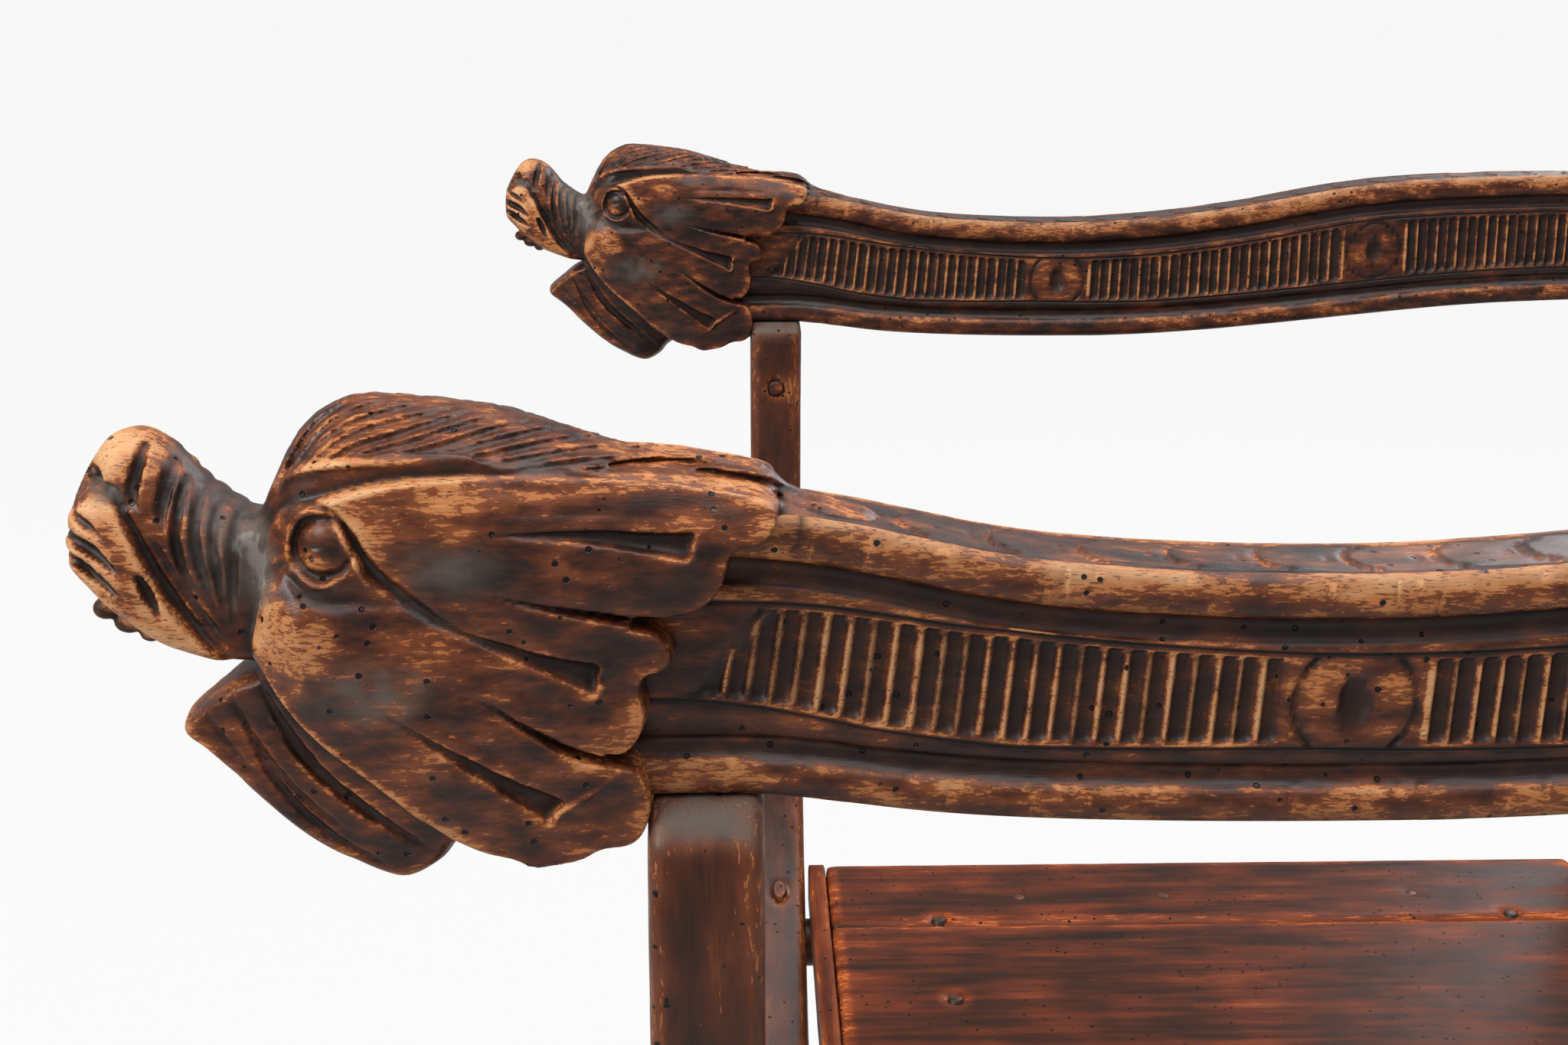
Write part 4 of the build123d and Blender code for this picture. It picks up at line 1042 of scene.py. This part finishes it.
def field_cut(back, up, field_top, field_floor, flutes):
    """Depth of the flutes, brackets and oval pits cut in the sunk field, at each place."""
    index = np.clip(np.searchsorted(flutes, back), 1, len(flutes) - 1)
    before, after = flutes[index - 1], flutes[index]
    nearest = np.where(np.abs(back - before) < np.abs(back - after), before, after)
    across = np.abs(back - nearest) / (FLUTE_PITCH * FLUTE_SHARE)
    ceiling = np.minimum(field_top, SLANT_UP + (back - SLANT_BACK) * SLANT_RISE)
    lengthwise = np.clip(1 - np.minimum(up - field_floor, ceiling - up) / 2.2, 0, 2)
    ripple = 1 + 0.07 * np.sin(up * 4.2 + nearest * 1.7)
    depth = FLUTE_DEPTH * np.clip(1 - across**2 - lengthwise**2, 0, 1) ** 0.4 * ripple
    rise = up - (field_top + field_floor) / 2
    for oval in OVALS:
        bracket = bump_at(np.hypot(back - oval, rise * 0.98), BRACKET_RADIUS, 0.85) ** 0.6 * BRACKET_DEPTH
        pit = 1 - ((back - oval) / OVAL_HALF[0]) ** 2 - (rise / OVAL_HALF[1]) ** 2
        pit = OVAL_DEPTH * np.sqrt(np.clip(pit, 0, 1))
        depth = np.where(np.abs(back - oval) < OVAL_REACH, bracket + pit, depth)
    return depth


def scale_rise(back, out):
    """Height of the overlapping coin scales along the rail's top."""
    recess = SCALE_RADIUS - np.sqrt(np.clip(SCALE_RADIUS**2 - out**2, 0, None))
    behind = (back - SCALE_START - 6.0 - recess) % SCALE_PITCH
    height = 0.2 - 0.5 * behind / SCALE_PITCH
    height -= 0.5 * bump_at(behind, SCALE_PITCH - 0.7, 0.9)
    height -= 0.45 * np.clip(1.3 - np.hypot(behind - 15.5, out), 0, 1)
    on_scales = (np.abs(out) < 9.25) & (back > SCALE_START)
    return np.where(on_scales, height * step_up(back, SCALE_START, SCALE_START + 6), 0)


def make_rail(side, material):
    """Moulded and fluted rail of one arm, from inside the head to the back."""
    end = ARM_END - FRONT[side]
    flutes = flute_places(end)
    columns = rail_columns(flutes, end)
    rows = [(kind, *row) for kind, group in RAIL_ROWS.items() for row in group]
    rows += [(kind, drop, -out, worn) for kind, drop, out, worn in rows[-2:0:-1]]
    kinds, drops, outs, wears = map(np.array, zip(*rows))
    rings, size = len(columns), len(rows)
    places = np.repeat(columns[:, None], size, axis=1)

    # Heights of the mouldings and of the sunk field along the rail.
    past = np.clip(places - (end - END_ROUND), 0, END_ROUND)
    corner = END_ROUND - np.sqrt(END_ROUND**2 - past**2)
    top = natural_curve(RAIL_TOP + list(zip((end - 2 * END_ROUND, end), RAIL_TOP_TAIL)), places) - corner
    bottom = natural_curve(RAIL_BOTTOM + [(end, RAIL_BOTTOM_END)], places) + corner * 0.8
    field_top = top - np.interp(places, *zip(*FIELD_DROP))
    field_floor = bottom + np.interp(places, *zip(*FIELD_RISE))
    levels = {"top": top - drops, "bottom": bottom - drops, "field": field_top - drops, "floor": field_floor - drops,
              "flute": field_top + (field_floor - field_top) * drops}
    up = np.select([(kinds == kind)[None] for kind in levels], list(levels.values()))
    lean = np.interp(columns, *zip(*SECTION_LEAN))[:, None]
    back = places + lean * (up - (field_top + field_floor) / 2) * step_up(end - places, 10, 60)

    # Carving.
    in_field = (kinds == "flute")[None] & (places < flutes[-1] + 3)
    depth = np.where(in_field, field_cut(places, up, field_top, field_floor, flutes), 0)
    from_slant = ((up - SLANT_UP) - (back - SLANT_LINE_BACK) * SLANT_RISE) / math.hypot(1, SLANT_RISE)
    on_slant = in_field & (back > 9) & (back < 34)
    depth = np.maximum(depth, np.where(on_slant, bump_at(from_slant, 0, 0.8) * SLANT_LINE_DEPTH, 0))
    out = np.sign(outs) * (np.abs(outs) - depth)
    on_top = ((kinds == "top") & (np.abs(outs) < 9.6))[None]
    up += np.where(on_top, scale_rise(back, out), 0)
    out *= 1 - 0.10 * (corner / END_ROUND) ** 2
    points = np.stack([out, back, up], -1).reshape(-1, 3)
    wobble = lumps(points, (9, 16, 9), 21) * 0.22 + lumps(points, (3, 6, 3), 22) * 0.10
    points[:, 0] += np.sign(points[:, 0]) * wobble * (np.abs(points[:, 0]) > 9.5)
    points[:, 2] += np.where(np.abs(points[:, 0]) < 12.5, wobble, wobble * 0.5)
    # Nicks in the two outer mouldings.
    nicks = step_up(lumps(points, (7, 2.4, 4), 23), 0.45, 0.75) * (np.abs(points[:, 0]) > 13.2) * 0.55
    points[:, 0] -= np.sign(points[:, 0]) * nicks

    index = np.arange(rings * size).reshape(rings, size)
    following = np.roll(index, -1, axis=1)
    quads = np.stack([index[:-1], index[1:], following[1:], following[:-1]], -1).reshape(-1, 4)
    faces = quads[:, ::-1].tolist() + [index[0].tolist(), index[-1][::-1].tolist()]
    fine = relief(points, quads, edge_pairs(quads), 4)

    # Wear: most on the ridges between the flutes, least in the cuts.
    near_oval = np.min([np.abs(places - oval) for oval in OVALS], axis=0) < 15.6
    ridge_wear = np.where(near_oval, 0.50, np.interp(np.minimum(field_top - up, up - field_floor), [1, 2.6],
                                                     [0.66, 0.94]))
    fluted = (back > SLANT_BACK + (up - SLANT_UP) / SLANT_RISE) & (places < flutes[-1] + 3)
    worn = np.where((kinds == "flute")[None] & (depth < 0.15), np.where(fluted, ridge_wear, 0.40), wears[None])
    worn = np.where(in_field & (depth > 0.5), 0.16, worn)
    worn = worn.reshape(-1) + fine.clip(-0.1, 0.3) * 0.6

    # Dirt in the cuts, in the two coves, in the grooves round the field and behind the ear's tip.
    hollow = np.where(depth > 1.25, 0.80, 0) + np.where((depth > 0.5) & (depth < 1.25), 0.35, 0)
    width = np.abs(outs)
    in_cove = np.isin(kinds, ["top", "bottom"]) & (width < 12.2) & (width > 10.3) & (np.abs(drops) > 8.9)
    hollow = np.where(in_cove[None], np.where(kinds == "top", 0.55, 0.10)[None], hollow)
    in_groove = np.isin(kinds, ["field", "floor"]) & (width < 12.5)
    hollow = np.where(in_groove[None], 0.85, hollow)
    hollow = hollow.reshape(-1) + step_up(-fine, 0.08, 0.5) * 0.5
    hollow = np.maximum(hollow, (bump_at(places, 29.6, 1.9) * (up > 57)).reshape(-1))
    dust = np.repeat(np.where(on_top, 0.22, 0), rings, axis=0).reshape(-1)
    world = on_arm(side, *points.T)
    # The far left arm's lowered wear is painted shade.
    return make_piece(side + "_arm_rail", world, faces, material, worn - FAR_ARM_SHADE[side], hollow, dust,
                      world[:, GRAIN_ORDER["y"]])


# ================= Pieces rubbed down from the plain joinery =================

# Order of the places' axes that puts the wood's fibres last.
GRAIN_ORDER = {"x": [1, 2, 0], "y": [0, 2, 1], "z": [0, 1, 2]}
# Arcs of the left slats' S shape in the front view: middle, radius, and first, last and next turn in degrees.
SLAT_ARCS = (((19.98, 615.9), 317.92, (168, 248, 4)), ((54.42, 38), 200.58, (67, -1, -4)))
SLAT_ENDS = ([(-291, 720)], [(-104.2, 323.2)], [(255, 38), (255, -20)])
SLAT_LENGTH = 1250.0


def welded(node_name):
    """A CAD node's shape as closed solids."""
    solid = bmesh.new()
    solid.from_mesh(frame["nodes"][node_name].data)
    bmesh.ops.remove_doubles(solid, verts=solid.verts, dist=1e-6)
    return solid


def dense_copy(node_name, cell):
    """Points in millimetres and even quads of a CAD node's closed shape."""
    mesh = bpy.data.meshes.new("block")
    solid = welded(node_name)
    solid.to_mesh(mesh)
    solid.free()
    block = add_object("block", mesh)
    net = block.modifiers.new("net", "REMESH")
    net.mode = "VOXEL"
    net.voxel_size = cell * COARSENESS * MM
    made = solved_mesh(block)
    points = read_rows(made.vertices, "co", 3) / MM
    quads = read_rows(made.loops, "vertex_index", 1, int).reshape(-1, 4)
    bpy.data.meshes.remove(made)
    return points, quads


def slat_path(side):
    """Middle line of a slat's S shape in the front view, from the arm down to the runner."""
    arcs = [[(middle[0] + radius * math.cos(math.radians(turn)), middle[1] + radius * math.sin(math.radians(turn)))
             for turn in range(*turns)] for middle, radius, turns in SLAT_ARCS]
    line = np.array(SLAT_ENDS[0] + arcs[0] + SLAT_ENDS[1] + arcs[1] + SLAT_ENDS[2])
    return line * (-SIDE_SIGN[side], 1)


def grain_places(points, grain):
    """Across, thickness and length along the fibres, which follow an axis or one side's bent slat."""
    if grain in GRAIN_ORDER:
        return points[:, GRAIN_ORDER[grain]]
    distance, along = SideView(points[:, 0], points[:, 2]).near(slat_path(grain))
    return np.stack([distance, points[:, 1], along * SLAT_LENGTH], -1)


def rub_down(node_name, cell, material, grain, wear=0.30, edge_wear=0.26, tool=0.16, shape=None):
    """A worn copy of a CAD piece: arrises rubbed round, faces slightly uneven, never outside the plain piece."""
    points, quads = dense_copy(node_name, cell)
    pairs = edge_pairs(quads)
    points = relax(points, pairs, 2)
    normals = vertex_normals(points, quads)
    seed = sum(map(ord, node_name))
    uneven = 0.5 + 0.35 * lumps(points, 14, seed % 97) + 0.15 * lumps(points, 5, seed % 89)
    points -= normals * (uneven * tool)[:, None]
    extra = 0.0
    if shape is not None:
        sunk, extra = shape(points, normals)
        points -= normals * sunk[:, None]
    fine = relief(points, quads, pairs, 6)
    broad = relief(points, quads, pairs, 30)
    worn = wear + step_up(fine, 0.05, 0.34) * edge_wear + np.tanh(broad * 0.5) * 0.06 + extra
    hollow = step_up(-fine, 0.08, 0.42) * 0.8
    dust = vertex_normals(points, quads)[:, 2].clip(0, 1) * 0.12 + hollow * 0.25
    if grain in SIDE_SIGN:
        dust += (step_up(points[:, 2], ARM_UNDERSIDE - 16, ARM_UNDERSIDE - 2)
                 * (0.54 + 0.26 * lumps(points, 5, 51)))
    return make_piece(node_name + "_worn", points, quads.tolist(), material, worn, hollow, dust,
                      grain_places(points, grain) + seed * 7.3)


# Carving of the back board. Heights are above the floor, and the first number is the distance from the middle.
BACK_CREST = [(0, 888), (80, 880), (165, 852), (267, 838), (315, 812)]
BACK_FOOT = [(0, 727.3), (150, 727.3), (235, 727.3), (275, 712), (315, 700)]
BACK_SIDE = 283.0
BACK_GROOVE = (15, 3.2, 1.7)       # distance from the edge, half width and depth
BACK_FIELD = 24.0                    # distance of the fluted field from the edge
BACK_FLUTE_PITCH = 12.0
BACK_FLUTE_DEPTH = 2.3
BACK_OVAL_UP = 800.0
BACK_OVAL_ROOM = 33.0                # half height of the bare oval
BACK_OVAL_STRETCH = 1.75
BACK_OVAL_LINE = (27, 2.4, 1.5)    # half height, half width of the line and its depth


def carve_back(points, normals):
    """Sinking of the back board's carved front and rear faces, and their wear."""
    across, up = points[:, 0], points[:, 2]
    on_face = np.abs(normals[:, 1]) > 0.75
    crest, foot = (np.interp(np.abs(across), *zip(*line)) for line in (BACK_CREST, BACK_FOOT))
    from_edge = np.minimum(np.minimum(crest - up, up - foot), BACK_SIDE - np.abs(across))
    ring = np.hypot(across / BACK_OVAL_STRETCH, up - BACK_OVAL_UP)
    wave = np.abs(across / BACK_FLUTE_PITCH % 1.0 - 0.5) * 2
    ends = np.minimum(*(np.clip(room / 5, 0, 1) for room in (from_edge - BACK_FIELD, ring - BACK_OVAL_ROOM)))
    flute = np.clip(1 - ((1 - wave) / 0.78) ** 2 - (1 - ends) ** 2, 0, 1)
    in_field = (from_edge > BACK_FIELD) & (ring > BACK_OVAL_ROOM)
    sunk = np.where(in_field, BACK_FLUTE_DEPTH * np.sqrt(flute), 0)
    for distance, (middle, half_width, depth) in ((from_edge, BACK_GROOVE), (ring, BACK_OVAL_LINE)):
        sunk = np.maximum(sunk, depth * dome(bump_at(distance, middle, half_width)))
    sunk = np.where(on_face, sunk, 0)
    from_peg = np.hypot(across + HALF_ARM, up - BACK_PEG_UP)
    sunk = np.where(from_peg < BACK_BORE_REACH, BACK_BORE_ROOM, sunk)
    return sunk, np.where(on_face & (from_edge < 12), 0.08, 0) + np.where(on_face & (ring < 25), 0.06, 0)


# ================= Pegs =================

PEG_SIDES = 18
PEG_TURN = {"x": (0.0, math.pi / 2, 0.0), "y": (-math.pi / 2, 0.0, 0.0), "z": (0.0, 0.0, 0.0)}
PEG_INPUTS = {"Geometry": "Geometry", "Radius": "Float", "Length": "Float", "Dome": "Float", "Unevenness": "Float",
              "Turn": "Vector", "Wood": "Material"}
PEG_UNEVENNESS = 0.22


def peg_tree():
    """Tree that stands a slightly domed and uneven peg on each point, with its sizes as inputs."""
    group = bpy.data.node_groups.new("round pegs", "GeometryNodeTree")
    for name, kind in PEG_INPUTS.items():
        group.interface.new_socket(name, in_out="INPUT", socket_type="NodeSocket" + kind)
    group.interface.new_socket("Geometry", in_out="OUTPUT", socket_type="NodeSocketGeometry")
    tree = Tree(group)
    outputs = group.nodes.new("NodeGroupInput").outputs
    given = {name: Socket(tree, outputs[name]) for name in PEG_INPUTS}
    stick = tree.node("GeometryNodeMeshCylinder", {
        "Vertices": PEG_SIDES, "Side Segments": 1, "Fill Segments": 3, "Radius": given["Radius"],
        "Depth": given["Length"]}, fill_type="TRIANGLE_FAN")
    place = tree.node("GeometryNodeInputPosition")
    flat = tree.vector_math("MULTIPLY", place, (1, 1, 0))
    share = tree.node("ShaderNodeVectorMath", {0: flat}, out="Value", operation="LENGTH") / given["Radius"]
    rise = (1.0 - share * share) * given["Dome"]
    height = tree.node("ShaderNodeSeparateXYZ", {0: place}, out="Z")
    end_side = tree.node("ShaderNodeMath", {0: height}, operation="SIGN")
    lift = tree.node("ShaderNodeCombineXYZ", {"Z": rise * end_side})
    domed = tree.node("GeometryNodeSetPosition", {"Geometry": stick, "Offset": lift})
    width = tree.node("FunctionNodeRandomValue", {0: (0.95, 0.95, 1), 1: (1, 1, 1), "Seed": 3},
                      data_type="FLOAT_VECTOR")
    pegs = tree.node("GeometryNodeInstanceOnPoints", {"Points": given["Geometry"], "Instance": domed,
                                                      "Rotation": given["Turn"], "Scale": width})
    roll = tree.node("FunctionNodeRandomValue", {0: (0, 0, 0), 1: (0, 0, 2 * math.pi), "Seed": 5},
                     data_type="FLOAT_VECTOR")
    pegs = tree.node("GeometryNodeRotateInstances", {"Instances": pegs, "Rotation": roll})
    pegs = tree.node("GeometryNodeRealizeInstances", {"Geometry": pegs})
    rough = tree.node("ShaderNodeTexNoise", {"Scale": 420, "Detail": 1.0}, out="Color", noise_dimensions="3D")
    nudge = tree.vector_math("SUBTRACT", rough, (0.5, 0.5, 0.5))
    nudge = tree.node("ShaderNodeVectorMath", {0: nudge, "Scale": given["Unevenness"]}, operation="SCALE")
    pegs = tree.node("GeometryNodeSetPosition", {"Geometry": pegs, "Offset": nudge})
    pegs = tree.node("GeometryNodeSetMaterial", {"Geometry": pegs, "Material": given["Wood"]})
    tree.put(group.nodes.new("NodeGroupOutput").inputs["Geometry"], pegs)
    return group


def solid_boxes(node_name):
    """Middle and size of each separate solid of a CAD node, in millimetres."""
    solid = welded(node_name)
    waiting = set(solid.verts)
    boxes = []
    while waiting:
        reached = [waiting.pop()]
        corners = []
        while reached:
            corner = reached.pop()
            corners.append(corner.co[:])
            beside = {edge.other_vert(corner) for edge in corner.link_edges} & waiting
            waiting -= beside
            reached += beside
        corners = np.array(corners) / MM
        boxes.append(((corners.min(0) + corners.max(0)) / 2, np.ptp(corners, axis=0)))
    solid.free()
    return sorted(boxes, key=lambda box: tuple(box[0].round(1)))


def make_pegs(node_name, axis, tree, material, dome_height, wear):
    """The pegs of one CAD node, from the tree, with a dark rim on each."""
    middles, sizes = map(np.array, zip(*solid_boxes(node_name)))
    along = "xyz".index(axis)
    across = [way for way in range(3) if way != along]
    radius = sizes[0][across[0]] / 2
    places = add_object("places", new_mesh("places", middles * MM))
    pegs = places.modifiers.new("pegs", "NODES")
    pegs.node_group = tree
    values = {"Radius": radius * MM, "Length": (sizes[0][along] - 2 * dome_height) * MM, "Dome": dome_height * MM,
              "Unevenness": PEG_UNEVENNESS * MM, "Turn": PEG_TURN[axis], "Wood": material}
    for item in tree.interface.items_tree:
        if item.name in values:
            pegs[item.identifier] = values[item.name]
    made = solved_mesh(places)
    points = read_rows(made.vertices, "co", 3) / MM
    gaps = np.linalg.norm(points[:, None, across] - middles[None][:, :, across], axis=2)
    gaps += np.abs(points[:, None, along] - middles[None, :, along]) * 0.01
    rim = step_up(gaps.min(1) / radius, 0.80, 1.02)
    return finished_object(node_name + "_round", made, wear - rim * 0.1, rim * 0.75, np.full(len(points), 0.06),
                           points[:, GRAIN_ORDER[axis]] + gaps.argmin(1)[:, None] * 13.7)


# ================= Building =================

carved = old_finish("carved walnut", mottle=1.22)
bent = old_finish("bent walnut", chip_size=(0.0010, 0.0060), patch_size=(0.010, 0.050), mottle=0.62)
seat_wood = old_finish("seat walnut", chip_size=(0.0010, 0.0110), patch_size=(0.008, 0.07), streaks=0.30,
                       tint=SEAT_TINT, sheen=0.12, mottle=0.7)
peg_wood = old_finish("peg wood", chip_size=(0.0007, 0.0030), tint=PEG_TINT)
hidden_wood = old_finish("hidden wood", plain=True)

BODY_OF = {node: body for body, nodes in frame["record"]["behaviour"]["bodies"].items() for node in nodes}


def settle(piece, node_name):
    """Stands a piece in for a CAD node, on the node's body."""
    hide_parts(node_name)
    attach(piece, BODY_OF[node_name])


def settle_worn(node_name, slot, *places, **choices):
    settle(rub_down(node_name, *places, **choices), node_name)


carving = carve_head()
for side in ("left", "right"):
    for piece in (place_head(side, carving, carved), make_rail(side, carved)):
        settle(piece, side + "_arm")
for side in ("left", "right"):
    for end in ("front", "rear"):
        settle_worn(side + "_" + end + "_slat", "walnut", 2.2, bent, side, wear=0.29, edge_wear=0.16)
    settle_worn(side + "_runner", "walnut", 2.4, bent, "y", wear=0.31)
    settle_worn(side + "_seat_rod", "walnut", 1.5, bent, "y", wear=0.34, tool=0.08)
    settle_worn(side + "_back_peg", "walnut", 1, bent, "y", wear=0.42, tool=0.08)
for node_name, cell, grain in (("seat_left_board", 2.6, "y"), ("seat_middle_board", 2.6, "y"),
                               ("seat_right_board", 2.6, "y"), ("seat_front_nosing", 2, "x"),
                               ("seat_rear_nosing", 2, "x"), ("seat_battens", 2.4, "x")):
    settle_worn(node_name, "seat_walnut", cell, seat_wood, grain, wear=0.27, edge_wear=0.16)
for node_name in ("seat_hinge_cleats", "seat_stop_cleats"):
    settle_worn(node_name, "seat_walnut", 1.6, seat_wood, "y")
pegs_on_points = peg_tree()
for node_name, axis, dome_height, wear in (
        ("seat_pegs", "z", 0.35, 0.34), ("seat_nosing_pegs", "y", 0.25, 0.34), ("left_tongue_pegs", "x", 0.8, 0.42),
        ("right_tongue_pegs", "x", 0.8, 0.42), ("left_runner_pegs", "x", 0.4, 0.45),
        ("right_runner_pegs", "x", 0.4, 0.45)):
    settle(make_pegs(node_name, axis, pegs_on_points, peg_wood, dome_height, wear), node_name)
settle_worn("pivot_rod", "walnut", 1.8, bent, "y", wear=0.34, tool=0.08)
for end in ("front", "rear"):
    settle_worn(end + "_pivot_boss", "walnut", 1.1, carved, "y", wear=0.40)
settle_worn("back_board", "carved_walnut", 1.75, carved, "x", wear=0.36, shape=carve_back)

# The pins and tongues inside the joints keep their own shape.
for node in frame["nodes"].values():
    if not node.hide_render:
        node.data.materials.clear()
        node.data.materials.append(hidden_wood)

# ---- Floor and backdrop ----
STAGE_HALF = 200.0
PAPER = (0.985, 0.985, 0.98)
FLOOR_GLOW = 0.93
ROOM_LIGHT = (0.97, 0.98, 1)
ROOM_STRENGTH = 0.42
PAPER_STRENGTH = 0.97


def add_floor():
    """Large pale floor that keeps the chair's shadow and looks like white paper to the camera."""
    corners = np.array([(-1, -1, 0), (1, -1, 0), (1, 1, 0), (-1, 1, 0)])
    mesh = new_mesh("floor", corners * STAGE_HALF, [(0, 1, 2, 3)])
    finish = Finish("studio floor")
    paint = Socket(finish, finish.shader.outputs[0])
    finish.shade(Base_Color=(0.5, 0.5, 0.5), Roughness=0.9)
    seen = finish.node("ShaderNodeLightPath", out="Is Camera Ray")
    glow = finish.node("ShaderNodeEmission", {"Color": PAPER})
    blend = finish.node("ShaderNodeMixShader", {0: seen * FLOOR_GLOW, 1: paint, 2: glow})
    finish.put(finish.output.inputs["Surface"], blend)
    mesh.materials.append(finish.material)
    add_object("floor", mesh)


def add_sky():
    """Even pale light from all round, seen by the camera as the same white paper."""
    world = bpy.data.worlds.new("studio")
    world.use_nodes = True
    tree = Tree(world.node_tree)
    room = tree.nodes.nodes["Background"]
    tree.put(room.inputs["Color"], ROOM_LIGHT)
    tree.put(room.inputs["Strength"], ROOM_STRENGTH)
    paper = tree.node("ShaderNodeBackground", {"Color": PAPER, "Strength": PAPER_STRENGTH})
    seen = tree.node("ShaderNodeLightPath", out="Is Camera Ray")
    blend = tree.node("ShaderNodeMixShader", {0: seen, 1: Socket(tree, room.outputs[0]), 2: paper})
    tree.put(tree.nodes.nodes["World Output"].inputs["Surface"], blend)
    bpy.context.scene.world = world


add_floor()
add_sky()
bpy.context.scene.view_settings.view_transform = "Standard"
add_camera()
add_lamp("window", (1.3, -2.2, 2.4), (0.1, -0.1, 0.6), 1.6, 66, (1, 0.98, 0.95))
add_lamp("ceiling", (0.2, 0.3, 2.8), (0, 0, 0.6), 2.4, 58, (0.97, 0.99, 1))
add_lamp("rear window", (-1.8, 1.6, 2), (0, 0, 0.7), 1.6, 32, (0.95, 0.98, 1))
